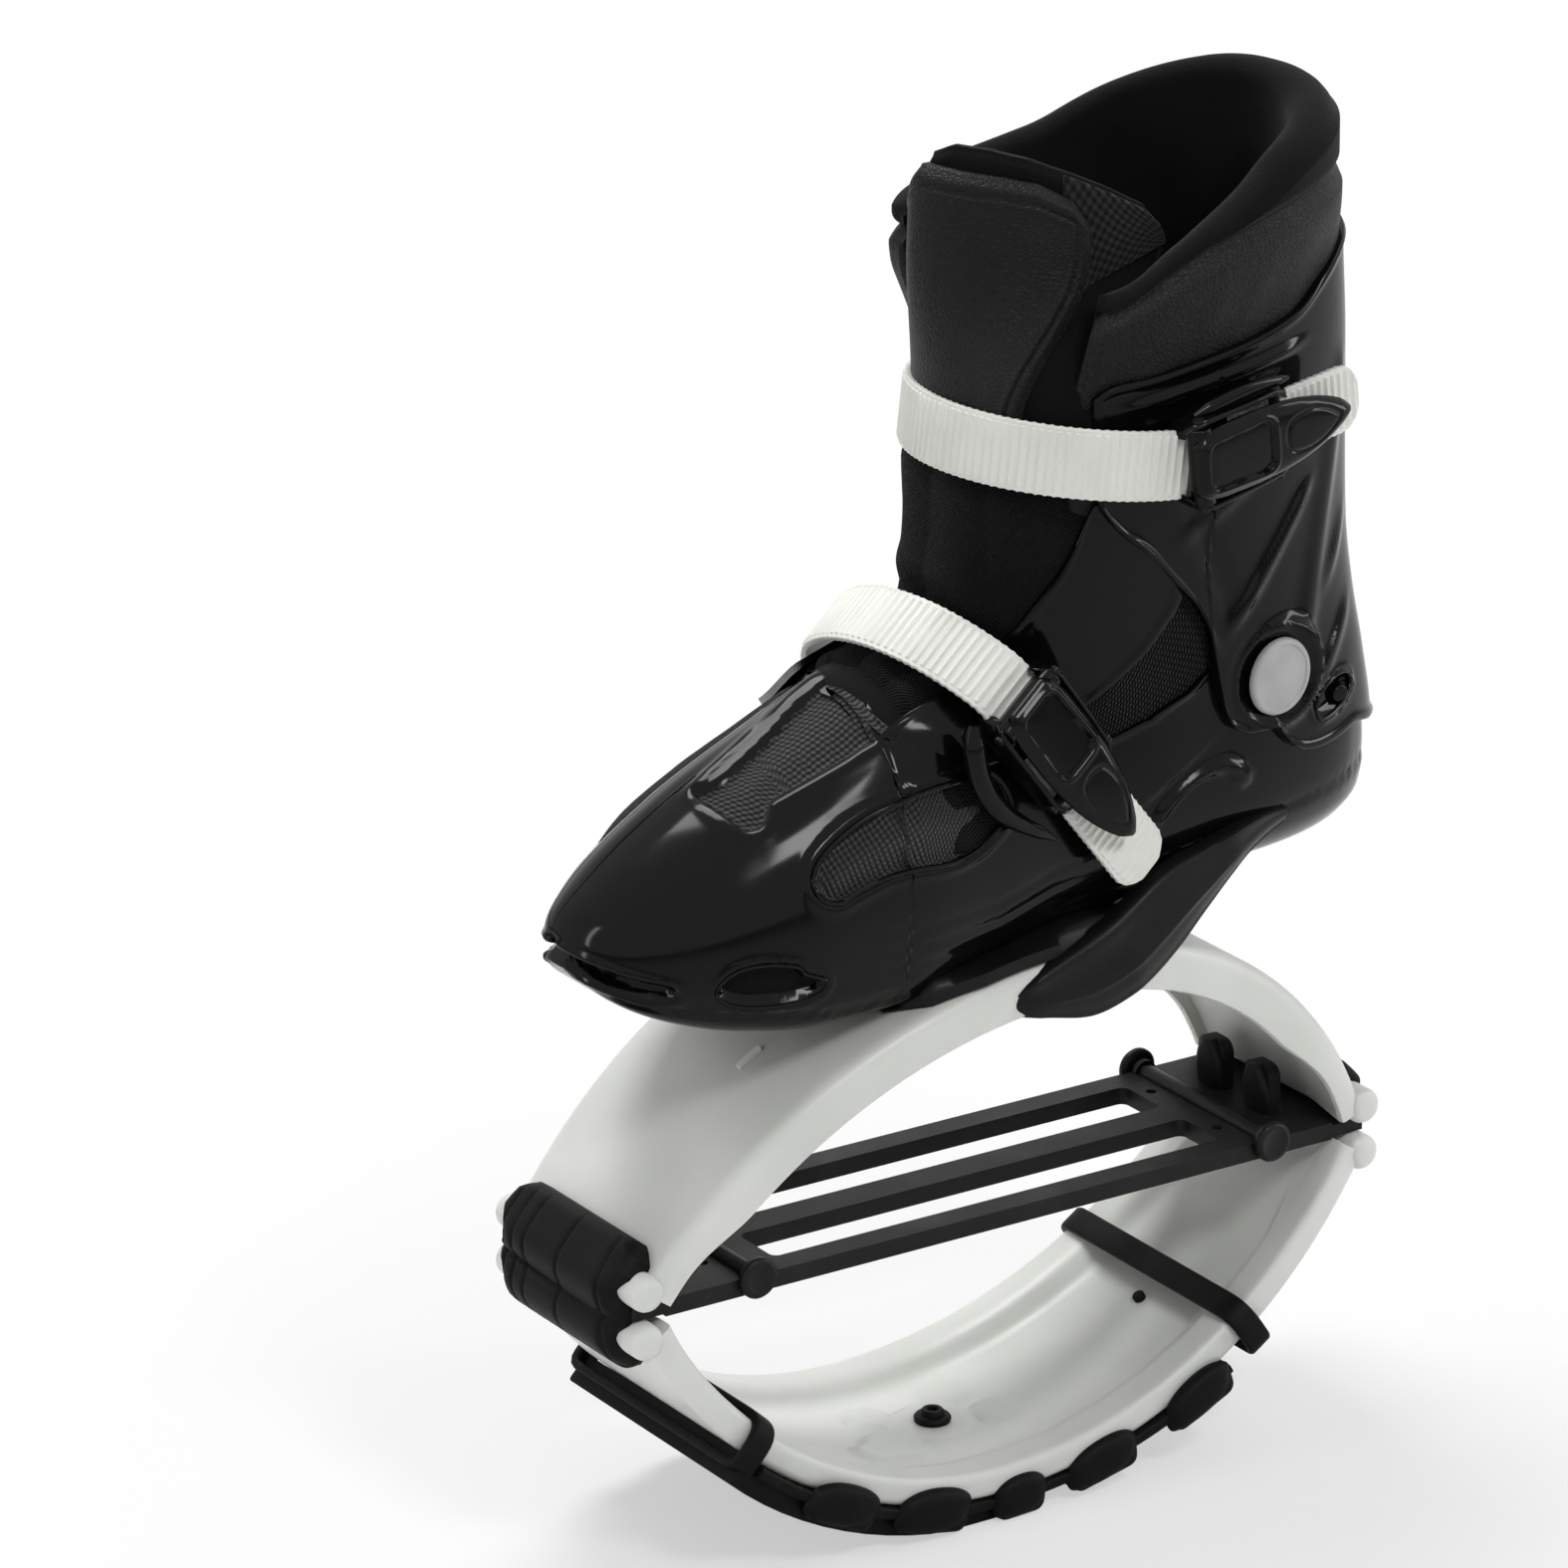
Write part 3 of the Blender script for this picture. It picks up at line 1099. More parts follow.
def closed_nose(points, reach):
    """Draw the first ring of a grid together to one point, a little further out."""
    tip = points[:1].mean(1, keepdims=True) + np.array([reach, 0, 0])
    return np.concatenate([np.repeat(tip, points.shape[1], 1), points])


shell_shape, shell_inner = closed_nose(shell_shape, 0.5), closed_nose(shell_inner, 0.1)
window = np.concatenate([window[:1] * 0, window])
both = np.concatenate([window, 0 * window], 1).reshape(-1)
piece("shoe_shell", [slab(shell_shape, shell_inner)], SHELL, "boot", ("lower_shell",),
      flat=doubled(shell_shape), window=both, sharp=60)
rims = [rope(side_point(line[:, 0], line[:, 1], grow, side), radius, True)
        for side in (1, -1) for line, grow, radius in ((SIDE_WINDOW, 0.2, 1.0), (VENT, 0.1, 0.7))]
piece("shell_rims", rims, GLOSS, "boot", ())

# Flaps beside the ankle: a panel each side between a front line and a rear line, laid on the boot's form.
FLAP_ROWS, FLAP_THICKNESS = 70, 2.4
FLAP_FRONT = curve_through([
    (60, 32, 293), (43, 31, 300.6), (32, 31, 304.4), (18, 29.8, 311), (4, 28.8, 317.8), (-2.4, 33.7, 325.9),
    (-8.9, 38.6, 337.2), (-14.2, 41.5, 344.7), (-19, 44, 355), (-23, 46, 366), (-25, 46.5, 370),
], FLAP_ROWS)
FLAP_REAR = curve_through([
    (34, 46, 280), (12, 45.5, 283.5), (-8, 43, 288), (-20, 41.5, 292), (-32.4, 41.2, 297.9),
    (-40.1, 42.8, 303.6), (-49.2, 44.4, 311.2), (-56, 45.4, 319.2), (-61.7, 46.3, 327.2), (-62, 47, 334),
    (-54, 47.8, 344), (-41, 48, 357), (-29, 47, 370),
], FLAP_ROWS)


def flap(side):
    """Straight lines between the two edges, pushed out from a core inside the boot to just above its form."""
    t = np.linspace(0, 1, 40)[None, :, None]
    p = FLAP_FRONT[:, None] * (1 - t) + FLAP_REAR[:, None] * t
    core = p * np.array([1, 0.2, 1]) - np.array([12, 0, 16])
    way = unit_rows(p - core)
    at = np.arange(FLAP_ROWS)[:, None] / (FLAP_ROWS - 1)
    edge = np.minimum(t[..., 0], 1 - t[..., 0]) * 40
    height = 1.7 + 0.5 * ridge(edge - 1.6, 1.0) - 3.6 * smooth_step(0.16 - at, 0, 0.16)
    surface = reach_out(core, way, 0.0, far=90.0)
    n = normals(surface)
    n = n * np.sign(n[..., 1:2])
    outer = surface + n * height[..., None]
    mirror = np.array([1, side, 1])
    return slab(outer * mirror, (outer - n * FLAP_THICKNESS) * mirror)


piece("shell_flaps", [flap(1), flap(-1)], GLOSS, "boot", (), sharp=60)

# Cuff. Its lower and front edges are one line in side view, its upper edge another.
CUFF_LOW = np.array([
    (-178, 257), (-165, 258), (-151.2, 262), (-145.8, 261.6), (-136.4, 260), (-127.9, 259.6), (-119.9, 261),
    (-113.6, 265), (-109, 270), (-106, 273), (-101.6, 272.3), (-94.6, 272.7), (-87, 276.6), (-83.3, 283),
    (-81.4, 292.5), (-78.8, 302.1), (-75.6, 311.9), (-72.3, 319.3), (-67, 327.3), (-58.2, 336.9),
    (-47.8, 348), (-37.3, 356.5), (-28.5, 366.5), (-24.5, 376),
])
CUFF_TOP = np.array([
    (-178, 447), (-165, 447), (-150, 446), (-135, 441), (-120, 433), (-108.5, 426), (-89.9, 421),
    (-67.2, 417.2), (-46.1, 414), (-30, 412.5), (-23.2, 408.5),
])


def leg_ring(height, angles, grow):
    """Leg surface at heights and angles from the back, both as grids."""
    middle = leg_middle(height)
    start = upright(middle, height)
    way = np.stack([-np.cos(angles), np.sin(angles), 0 * angles], -1)
    return reach_out(start, way, grow, leg_level, 150.0)


def line_over_angles(line, angles, grow):
    """Heights of a side-view line at angles round the leg."""
    p = side_point(line[:, 0], line[:, 1], grow, 1, leg_level)
    turn = np.arctan2(np.where(p[:, 1] < 0.5, 0, p[:, 1]), leg_middle(line[:, 1]) - line[:, 0])
    order = np.argsort(turn)
    return np.interp(np.abs(angles), turn[order], line[order, 1]), turn.max()


low_line, top_line = curve_through(CUFF_LOW, 200), curve_through(CUFF_TOP, 80)
_, cuff_reach = line_over_angles(low_line, np.zeros(1), 2.0)
angles = np.linspace(-cuff_reach, cuff_reach, 181)
low_at = line_over_angles(low_line, angles, 2.0)[0]
top_at = line_over_angles(top_line, angles, 2.0)[0]
rows = np.linspace(0, 1, 120)[:, None]
height = low_at * (1 - rows) + top_at * rows
angle_grid = np.broadcast_to(angles, height.shape)
cuff_base = leg_ring(height, angle_grid, 3.4)
cuff_normal = normals(cuff_base)
x, y, z = cuff_base[..., 0], np.abs(cuff_base[..., 1]), cuff_base[..., 2]
edge = np.minimum(np.minimum(z - low_at, top_at - z), (cuff_reach - np.abs(angle_grid)) * 60)
push = 0.9 * ridge(edge - 1.6, 1.3)
# A flat hub round the rivet: its half width from the middle plane, its foot, its ring and its recess.
HUB_Y, HUB_RADIUS, HUB_RING, HUB_RECESS = 46.9, 24, 18.5, 15.4
hub = np.hypot(x - HINGE[0], z - HINGE[1])
side_on = smooth_step(y, 25, 34)
push += (HUB_Y - y) * smooth_step(HUB_RADIUS - hub, 0, 7) * side_on
push += 1.2 * ridge(hub - HUB_RING, 1.1) * side_on
push -= 0.9 * smooth_step(HUB_RECESS - hub, 0, 0.8) * side_on
# Long soft folds: two side-view places (x, z), a height and a width.
FOLDS = (
    (-120, 361, -84, 314, 2.0, 3.0), (-78, 308, -40, 356, 1.5, 2.4), (-60, 352, -96, 372, 1.2, 3.5),
    (-36, 404, -112, 414, 1.4, 2.0), (-40, 396, -100, 404, 1.0, 1.8), (-120, 300, -140, 400, 1.6, 5.0),
    (-86, 318, -62, 366, -1.0, 5.0), (-132, 318, -158, 360, 1.2, 3.0), (-126, 280, -152, 312, 1.1, 3.0),
)


def fold(x0, z0, x1, z1, size, width):
    """A long soft ridge on the cuff, between two side-view places."""
    way = np.array([x1 - x0, z1 - z0], float)
    span = np.hypot(*way)
    way /= span
    at = (x - x0) * way[0] + (z - z0) * way[1]
    off = -(x - x0) * way[1] + (z - z0) * way[0]
    return size * ridge(off, width) * smooth_step(at, -8, 12) * smooth_step(span - at, -8, 12) * side_on


for line in FOLDS:
    push += fold(*line)
slot_hole = curve_through([
    (-127.5, 272), (-127, 276.3), (-130.8, 280.8), (-138.2, 283.6), (-145.4, 282.8), (-148, 278),
    (-143.5, 273), (-136.2, 270.2), (-130.1, 269.7),
], 60, True)
in_slot = np.where(y > 10, inside_depth(np.stack([x, z], -1), slot_hole), OUTSIDE)
push -= 3.0 * smooth_step(in_slot, -0.6, 1.6)
push += 0.8 * ridge(in_slot + 1.2, 1.0)
cuff_shape = cuff_base + cuff_normal * push[..., None]
cuff_inner = np.where(push[..., None] < -1.5, cuff_shape - cuff_normal * 0.8, cuff_base - cuff_normal * WALL)
slot_rims = [rope(side_point(slot_hole[:, 0], slot_hole[:, 1], 3.6, side, leg_level), 0.9, True)
             for side in (1, -1)]
piece("leg_cuff", [slab(cuff_shape, cuff_inner)] + slot_rims, GLOSS, "cuff", ("cuff",),
      sharp=60)

RIVET_Y = 47.2
for name, node, side in (("outer_rivet", "ankle_rivet_outer", 1), ("inner_rivet", "ankle_rivet_inner", -1)):
    head = turned(RIVET_HEAD, (HINGE[0], side * RIVET_Y, HINGE[1]), (-0.12, side * 0.993, 0), 64)
    piece(name, [head], RIVET, "boot", (node,))
PEG_X, PEG_Z, PEG_START, PEG_END, PEG_RADIUS = -141.5, 275.5, 28, 37.6, 3.4
pegs = [bar((PEG_X, side * PEG_START, PEG_Z), (PEG_X, side * PEG_END, PEG_Z), PEG_RADIUS, 0.8)
        for side in (1, -1)]
piece("slot_pegs", pegs, BUCKLE, "boot", ("heel_pegs",))

# Sole cradle: a leaf down each side of the shell's waist, over a saddle on the upper bow.
WING_TOP = curve_through([
    (-117, 239), (-106, 240), (-92, 238.5), (-76, 235), (-56, 230), (-29, 216), (-3, 206), (8, 200),
    (15, 193),
], 60)
WING_LOW = curve_through([
    (-117, 233), (-104, 229), (-92, 223), (-76, 211), (-62, 200), (-46, 191), (-25, 184.5), (-4, 188),
    (13, 191),
], 60)


def wing(side):
    """One leaf, from its top line down to its low line, with a belly, a rolled edge and a rib."""
    t = np.linspace(0, 1, 30)[None, :]
    s = np.linspace(0, 1, 60)[:, None]
    flat = WING_TOP[:, None] * (1 - t[..., None]) + WING_LOW[:, None] * t[..., None]
    top_y = np.interp(s, [0, 0.2, 0.6, 0.9, 1], [40, 46, 51, 54, 50])
    belly = np.interp(s, [0, 0.2, 0.6, 0.85, 1], [1.5, 4, 6.5, 5.0, 1.0])
    low_y = np.interp(s, [0, 0.2, 0.6, 0.9, 1], [38, 45, 55, 54, 49])
    y = top_y * (1 - t) + low_y * t + belly * np.sin(pi * np.clip(t, 0, 1)) ** 0.8
    edge = np.minimum(t, 1 - t)
    y = y + 0.7 * ridge(edge - 0.06, 0.04) - 1.4 * smooth_step(0.05 - edge, 0, 0.05)
    y = y + 0.9 * ridge(t - 0.55, 0.05) * smooth_step(s, 0.15, 0.4) * smooth_step(1 - s, 0.05, 0.3)
    outer = np.stack([flat[..., 0], side * y, flat[..., 1]], -1)
    inner = outer - np.stack([0 * y, side * (2.5 + 5 * np.sin(pi * t) + 0 * s), 0 * y], -1)
    return slab(outer, inner)


# The saddle: half widths along x, and the shell's underside, which it stays below.
SADDLE_LOW, SADDLE_HIGH = -70, 52
SADDLE_HALF = [(SADDLE_LOW, 38), (-40, 46), (-10, 52), (20, 52.5), (40, 48), (SADDLE_HIGH, 36)]
SHELL_UNDER = [(-104, 232), (-70, 222), (-25, 219), (10, 212), (60, 207), (80, 205)]
spots, ways = bow_path(UPPER_APEX, UPPER_BEAD_Z, 40, SADDLE_LOW, SADDLE_HIGH)
profile = np.linspace(-1, 1, 24)
across = read(SADDLE_HALF, spots[:, 0])[:, None] * profile
front_taper = smooth_step(SADDLE_HIGH + 2 - spots[:, :1], 0, 20)
outer = carried(spots, ways, across, np.interp(np.abs(profile), [0, 0.9, 1], [-9, -9, -5]) * front_taper)
outer[..., 2] = np.minimum(outer[..., 2], read(SHELL_UNDER, outer[..., 0]))
inner = carried(spots, ways, across, np.full_like(across, -0.3))
outer[..., 2] = np.maximum(outer[..., 2], inner[..., 2] + 0.8)
piece("sole_saddle", [wing(1), wing(-1), slab(outer, inner)], CRADLE, "boot", ("sole_cradle",),
      sharp=55)
repaint("cradle_bolts", STEEL)


# Liner. Soft pieces follow the same form, inside the hard ones.
def padded_piece(name, outer, inner, finish, nodes, body, flat=None, sharp=70):
    """A soft wall between two grids, marked as padded."""
    made = piece(name, [slab(outer, inner)], finish, None, nodes, flat=flat, sharp=sharp)
    if body:
        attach(made, body)
    return made


def ankle_band():
    """Ribbed knit round the front of the ankle, from the instep up behind the front panel."""
    stations = np.linspace(108, 324, 110)
    turn = np.linspace(0.42 * pi, 1.58 * pi, 191)
    base = around(stations, turn, -1.6)
    rib_turn = (turn - pi) / pi
    ribs = 1.5 * np.abs(np.sin(rib_turn * 31)) ** 0.8 - 0.9
    wrinkle = 0.8 * np.sin(stations[:, None] * 0.11 + 2.2 * np.cos(turn * 3)) * ridge(turn - pi, 0.9)
    front = np.exp(-((turn - pi) / 0.75) ** 4)
    lift = (ribs * front + wrinkle)[..., None] * smooth_step(stations, 110, 128)[:, None, None]
    sink = 3.5 * smooth_step(140 - stations, 0, 14) + 3.5 * smooth_step(stations, 306, 318)
    outer = base + normals(base) * lift - normals(base) * sink[:, None, None]
    return outer, around(stations, turn, -12)


outer, inner = (around(np.linspace(10, 250, 90), np.linspace(0, 2 * pi, 97), grow).transpose(1, 0, 2)
                for grow in (-3.2, -11.5))
padded_piece("foot_lining", outer, inner, LINING, ("liner_foot",), "boot")
outer, inner = ankle_band()
ankle = padded_piece("ankle_knit", outer, inner, KNIT, ("ankle_gusset",), None,
                     flat=doubled(outer))
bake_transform(ankle)

# Collar: a thick padded wall round the leg. Its rim and inside are brushed, its outside is coated cloth.
# It runs up the outside to the seam, on to the roll, over it and down inside, by these shares of its columns.
COLLAR_COLUMNS = 96
TO_SEAM, TO_ROLL, TO_INSIDE = 0.40, 0.52, 0.64
ROLL = 6.2
# How far it reaches round the leg on the far and the near side, and its rim and seam by turn and height.
FAR_REACH, NEAR_REACH = 2.80, 2.40
RIM = np.array([
    (-2.80, 461), (-2.68, 469), (-2.5, 473), (-2.05, 471), (-1.6, 476), (-1.17, 484), (-0.68, 495),
    (-0.36, 499), (0, 496), (0.4, 491), (0.82, 481), (1.15, 473), (1.6, 462), (2.0, 451), (2.2, 445),
    (2.5, 439),
])
SEAM = [
    (-2.80, 452), (-2.5, 456), (-2.0, 452), (-1.2, 456), (-0.6, 468), (0, 470), (0.6, 466), (0.95, 463),
    (1.3, 459), (1.73, 452.5), (2.1, 443.5), (2.25, 439), (2.5, 433),
]


def collar_wall():
    """Rows go from the far front end round to the near one, columns up outside, over and down inside."""
    share = np.linspace(-1, 1, 221)
    t = np.linspace(0, 1, COLLAR_COLUMNS)[:, None]
    spread = np.where(share < 0, FAR_REACH, NEAR_REACH) * share
    rim_z = soften(np.interp(spread, RIM[:, 0], soften(RIM[:, 1], 1)), 5)
    seam_z = soften(read(SEAM, spread), 5)
    base_z = np.interp(spread, [-FAR_REACH, -1.8, -1.2, 1.2, 2.0, 2.5], [380, 350, 335, 335, 358, 372])
    wall = 12.5 + 5.0 * ridge(spread - 0.3, 0.8)
    turn = np.clip((t - TO_ROLL) / 0.12, 0, 1) * pi
    over = rim_z - ROLL
    up = base_z + (seam_z - base_z) * (t / TO_SEAM)
    up_roll = seam_z + (over - seam_z) * (t - TO_SEAM) / 0.12
    down = over + (base_z - over) * (t - TO_INSIDE) / 0.36
    heights = np.where(t < TO_INSIDE, over + ROLL * np.sin(turn), down)
    heights = np.where(t < TO_SEAM, up, np.where(t < TO_ROLL, up_roll, heights))
    near_reach = share * np.interp(heights, [372, 405, 438, 460], [2.53, 2.47, 2.34, 2.30])
    far_reach = share * np.interp(heights, [380, 425, 450, 470], [2.5, 2.66, 2.78, FAR_REACH])
    skin = leg_ring(heights, np.where(share > 0, near_reach, far_reach), 0.0)
    middle = leg_middle(heights)
    inward = unit_rows(np.stack([middle - skin[..., 0], -skin[..., 1], 0 * middle], -1))
    outside = t < TO_ROLL
    depth = np.where(outside, 0, np.where(t < TO_INSIDE, wall / 2 * (1 - np.cos(turn)), wall))
    below = seam_z - heights
    puff = 2.8 * smooth_step(below, 0.5, 7) * smooth_step(46 - below, 0, 36)
    puff += 1.6 * smooth_step(-below, 0.5, 4.5)
    puff -= 1.7 * ridge(below, 1.3)
    crease = np.sin(share * 31 + heights * 0.16) * np.sin(share * 13 - heights * 0.09)
    puff += 0.45 * crease * smooth_step(below, 8, 26)
    puff += 2.5 * smooth_step(-share, 0.86, 0.97) * smooth_step(heights, 415, 440)
    pinch = smooth_step(np.abs(share), 0.965, 1.0)
    inside_wave = 0.5 * np.sin(share * 17 + heights * 0.08) * smooth_step(t, 0.66, 0.8)
    shift = depth - np.where(outside, puff, 0) - 0.3 + inside_wave
    shift = shift + pinch * (wall / 2 - depth) * 0.8
    return skin + inward * shift[..., None]


collar_grid = collar_wall().transpose(1, 0, 2)
collar = piece("padded_collar", [tube(collar_grid)], LEATHER, None, ("liner_collar",),
               sharp=80)
collar.data.materials.append(LINING)
band = np.tile((np.arange(COLLAR_COLUMNS) >= 38).astype(np.int32), 222)
collar.data.polygons.foreach_set("material_index", np.resize(band, len(collar.data.polygons)))

# Front panel: a wide soft tongue in front of the leg. A brushed layer and a coarse patch stand behind it.
PLAN_POINTS = 400
TOP_LINE = curve_through([
    (1, -27), (7, -19.5), (11, -13), (11.5, -7), (8.5, 1), (1, 11), (-10, 20), (-24, 28), (-38, 34),
    (-52, 38), (-60, 40),
], PLAN_POINTS)
PANEL_FOOT = 377
PANEL_PLAN, LINING_PLAN = (-33, -44, 34, 54.3, 0), (-60.5, -48, 70, 50.0, 4.6)
HEM = [
    (0, 462), (0.10, 468), (0.17, 476), (0.25, 482.5), (0.40, 482), (0.62, 480.5), (0.78, 478), (0.92, 472),
    (1, 462),
]
LINING_CREST = [
    (0, 464), (0.1, 476), (0.2, 486), (0.3, 489.5), (0.42, 489), (0.55, 486), (0.7, 480), (0.82, 474.5),
    (0.93, 468), (1, 456),
]
PATCH_START = 0.66
PATCH_CREST = [(PATCH_START, 481), (0.7, 479.5), (0.82, 473.5), (0.93, 467), (0.98, 461), (1, 455)]
PATCH_LOW = [(PATCH_START, 432), (0.78, 443), (0.9, 449), (1, 455)]


def panel_surface(columns, height, reach_x, from_turn, to_turn, radius, back):
    """Columns run from the far edge to the near one. The plan is a ring low down and the top line above."""
    beyond = np.where(TOP_LINE[:, 1] > 0, TOP_LINE[:, 0], 1e3) <= reach_x
    end = int(np.argmax(beyond)) or PLAN_POINTS - 1
    way = along(TOP_LINE)
    line = TOP_LINE + np.stack([way[:, 1], -way[:, 0]], -1) * -back
    high = np.stack([np.interp(columns * end, np.arange(PLAN_POINTS), line[:, k]) for k in (0, 1)], -1)
    turn = np.radians(from_turn + (to_turn - from_turn) * columns)
    low = np.stack([-46 + radius * np.cos(turn), 4.5 + radius * np.sin(turn)], -1)
    share = smooth_step(height, 398, 452)[..., None]
    plan = low * (1 - share) + high * share
    return np.concatenate([plan, height[..., None]], -1)


def outward(points):
    """Unit normals that face away from the leg's middle."""
    n = normals(points)
    away = points - np.array([-70, 0, 0])
    return n * np.sign((n * away)[..., :2].sum(-1))[..., None]


rows, cols = np.meshgrid(np.linspace(0, 1, 110), np.linspace(0, 1, 130), indexing="ij")
face = panel_surface(cols, PANEL_FOOT + rows * (read(HEM, cols) - PANEL_FOOT), *PANEL_PLAN)
facing = outward(face)
edge = np.minimum(np.minimum(cols, 1 - cols) * 92, (1 - rows) * 100)
lift = 2.0 * (np.sin(pi * cols) * np.sin(pi * rows)) ** 0.6 - 2.6 * smooth_step(3.5 - edge, 0, 3.5)
lift += 0.5 * ridge(edge - 8.0, 1.1) - 0.8 * ridge(edge - 6.2, 0.6)
lift -= 7.0 * smooth_step(0.16 - cols, 0, 0.16) * smooth_step(rows, 0.82, 1)
lift += 0.7 * np.sin(cols * 6 + rows * 4) * (1 - rows)
panel_out = face + facing * lift[..., None]
panel_in = face + facing * (np.minimum(lift, 1) - 3.2)[..., None]
padded_piece("front_panel", panel_out, panel_in, LEATHER, ("liner_tongue",), "cuff",
             flat=doubled(panel_out))
face = panel_surface(cols, PANEL_FOOT + rows * (read(LINING_CREST, cols) - PANEL_FOOT), *LINING_PLAN)
facing = outward(face)
edge = np.minimum(np.minimum(cols, 1 - cols) * 110, (1 - rows) * 100)
lift = -2.0 * smooth_step(3.5 - edge, 0, 3.5) + 0.5 * np.sin(cols * 9 + rows * 3)
padded_piece("tongue_lining", face + facing * lift[..., None], face - facing * 4.5, LINING, (), "cuff")
rows, cols = np.meshgrid(np.linspace(0, 1, 40), np.linspace(PATCH_START, 1, 60), indexing="ij")
low = read(PATCH_LOW, cols)
face = panel_surface(cols, low + rows * (read(PATCH_CREST, cols) - low), *LINING_PLAN)
facing = outward(face)
edge = np.minimum(np.minimum(cols - PATCH_START, 1 - cols) * 110, np.minimum(rows, 1 - rows) * 30)
patch_out = face + facing * (0.9 + 0.9 * smooth_step(edge, 0, 1.5))[..., None]
padded_piece("hook_patch", patch_out, face + facing * 0.2, PATCH, (), "cuff",
             flat=doubled(patch_out))

# Insole
outer, inner = (around(np.linspace(16, 262, 80), np.linspace(-0.62, 0.62, 31), grow)
                for grow in (-12.0, -15.5))
padded_piece("insole_pad", outer, inner, FOAM, ("insole",), "boot", doubled(inner), 60)
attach(collar, "cuff")


# Straps: width, thickness, tooth spacing and how far from the tip they narrow.
STRAP_WIDTH, STRAP_THICKNESS, TOOTH, TIP = 25, 2.3, 3.1, 9
# Its section: places across and heights, as shares of the half width and the thickness.
STRAP_SECTION = np.array([
    (-1, 0.15), (-0.985, 0), (0.985, 0), (1, 0.15), (1, 0.75), (0.975, 0.9), (0.88, 0.92), (0.85, 1),
    (0, 1.0), (-0.85, 1), (-0.88, 0.92), (-0.975, 0.9), (-1, 0.75),
])


def unit(v):
    v = np.asarray(v, float)
    return v / np.linalg.norm(v)


def arc_line(start, way, radius, turn, count):
    """Points and directions of a flat arc that leaves start along way and turns left by turn."""
    start, way = np.asarray(start, float), unit(way)
    left = np.array([-way[1], way[0]]) * np.sign(turn)
    centre = start + left * radius
    a = np.linspace(0, abs(turn), count)[1:]
    points = centre - radius * np.cos(a)[:, None] * left + radius * np.sin(a)[:, None] * way
    ways = np.cos(a)[:, None] * way + np.sin(a)[:, None] * left
    return points, ways


def ratchet(name, line, out, side, body, node):
    """A toothed strap: a line of its underside, with its outward and its width directions."""
    steps = steps_along(line)
    at = np.linspace(0, steps[-1], int(steps[-1] / 0.52))
    line, out, side = (np.stack([np.interp(at, steps, v[:, k]) for k in range(3)], -1)
                       for v in (line, out, side))
    out = unit_rows(out)
    tooth = np.clip(1 - np.abs(((at / TOOTH) % 1) - 0.3) / 0.34, 0, 1)
    half = STRAP_WIDTH / 2 - 0.35 * (1 - tooth)
    to_tip = np.maximum(TIP - (steps[-1] - at), 0)
    half = np.where(to_tip > 0, half * np.sqrt(np.clip(1 - (to_tip / 9.6) ** 2.4, 0.02, 1)), half)
    raised = (STRAP_SECTION[:, 1] > 0.95)[None] * (0.75 * tooth[:, None] - 0.15)
    across = (half[:, None] * STRAP_SECTION[:, 0])[..., None]
    high = (STRAP_SECTION[:, 1] * STRAP_THICKNESS + raised)[..., None]
    piece(name, [tube(line[:, None] + side[:, None] * across + out[:, None] * high)], STRAP, body, (node,),
          sharp=28)


# The instep strap lies in a leaning plane: over the crown, round a corner each side and down.
lean_origin = np.array([30, 0, 325.1])
lean_z = unit((0.8, 0.136, -0.6))
lean_x = unit((-0.17, 1, 0))
lean_y = np.cross(lean_z, lean_x)
halves = []
for sign, corner, splay, length in ((1, 14, 10, 92), (-1, 44, 23, 34)):
    crown, crown_way = arc_line((5, 0), (sign, 0), 60, -sign * radians(40), 40)
    bend, bend_way = arc_line(crown[-1], crown_way[-1], corner, -sign * radians(90 - splay - 40), 24)
    tail = bend[-1] + bend_way[-1] * np.linspace(0, length, 60)[1:, None]
    halves.append((np.concatenate([[(5, 0)], crown, bend, tail]),
                   np.concatenate([[(sign, 0)], crown_way, bend_way, np.repeat(bend_way[-1:], 59, 0)])))
flat_line = np.concatenate([halves[1][0][::-1], halves[0][0][1:]])
flat_way = np.concatenate([-halves[1][1][::-1], halves[0][1][1:]])
flat_out = np.stack([-flat_way[:, 1], flat_way[:, 0]], -1)
to_space = np.stack([lean_x, lean_y])
line, out = lean_origin + flat_line @ to_space, flat_out @ to_space
side = np.broadcast_to(lean_z, line.shape)
ratchet("instep_ratchet", line, out, side, "boot", "instep_strap")

# The cuff strap goes round the leg's front on a tipped ring, then straight on through its buckle.
TIPPED = radians(6)
ring_origin = np.array([HINGE[0], 4.5, 378.6])
ring_x, ring_z = np.array([cos(TIPPED), 0, sin(TIPPED)]), np.array([-sin(TIPPED), 0, cos(TIPPED)])
centre_x, ring_radius = 60.5, 57.5
a = np.linspace(-pi / 2, pi / 2 + TIPPED, 140)
ring = np.stack([centre_x + ring_radius * np.cos(a), ring_radius * np.sin(a)], -1)
ring_out = np.stack([np.cos(a), np.sin(a)], -1)
anchor = np.stack([centre_x - np.linspace(32, 0, 20)[:-1], np.full(19, -ring_radius)], -1)
flat_line = np.concatenate([anchor, ring])
flat_out = np.concatenate([np.repeat([[0.0, -1.0]], 19, 0), ring_out])
to_space = np.stack([ring_x, np.array([0, 1.0, 0])])
line, out = ring_origin + flat_line @ to_space, flat_out @ to_space
side = np.broadcast_to(ring_z, line.shape)
cuff_x = np.array([-0.987109, -0.103749, 0.121869])
cuff_y = np.array([0.121202, 0.012739, 0.992546])
cuff_z = np.cross(cuff_x, cuff_y)
tail = line[-1] + cuff_x * np.linspace(0, 79, 70)[1:, None]
line = np.concatenate([line, tail])
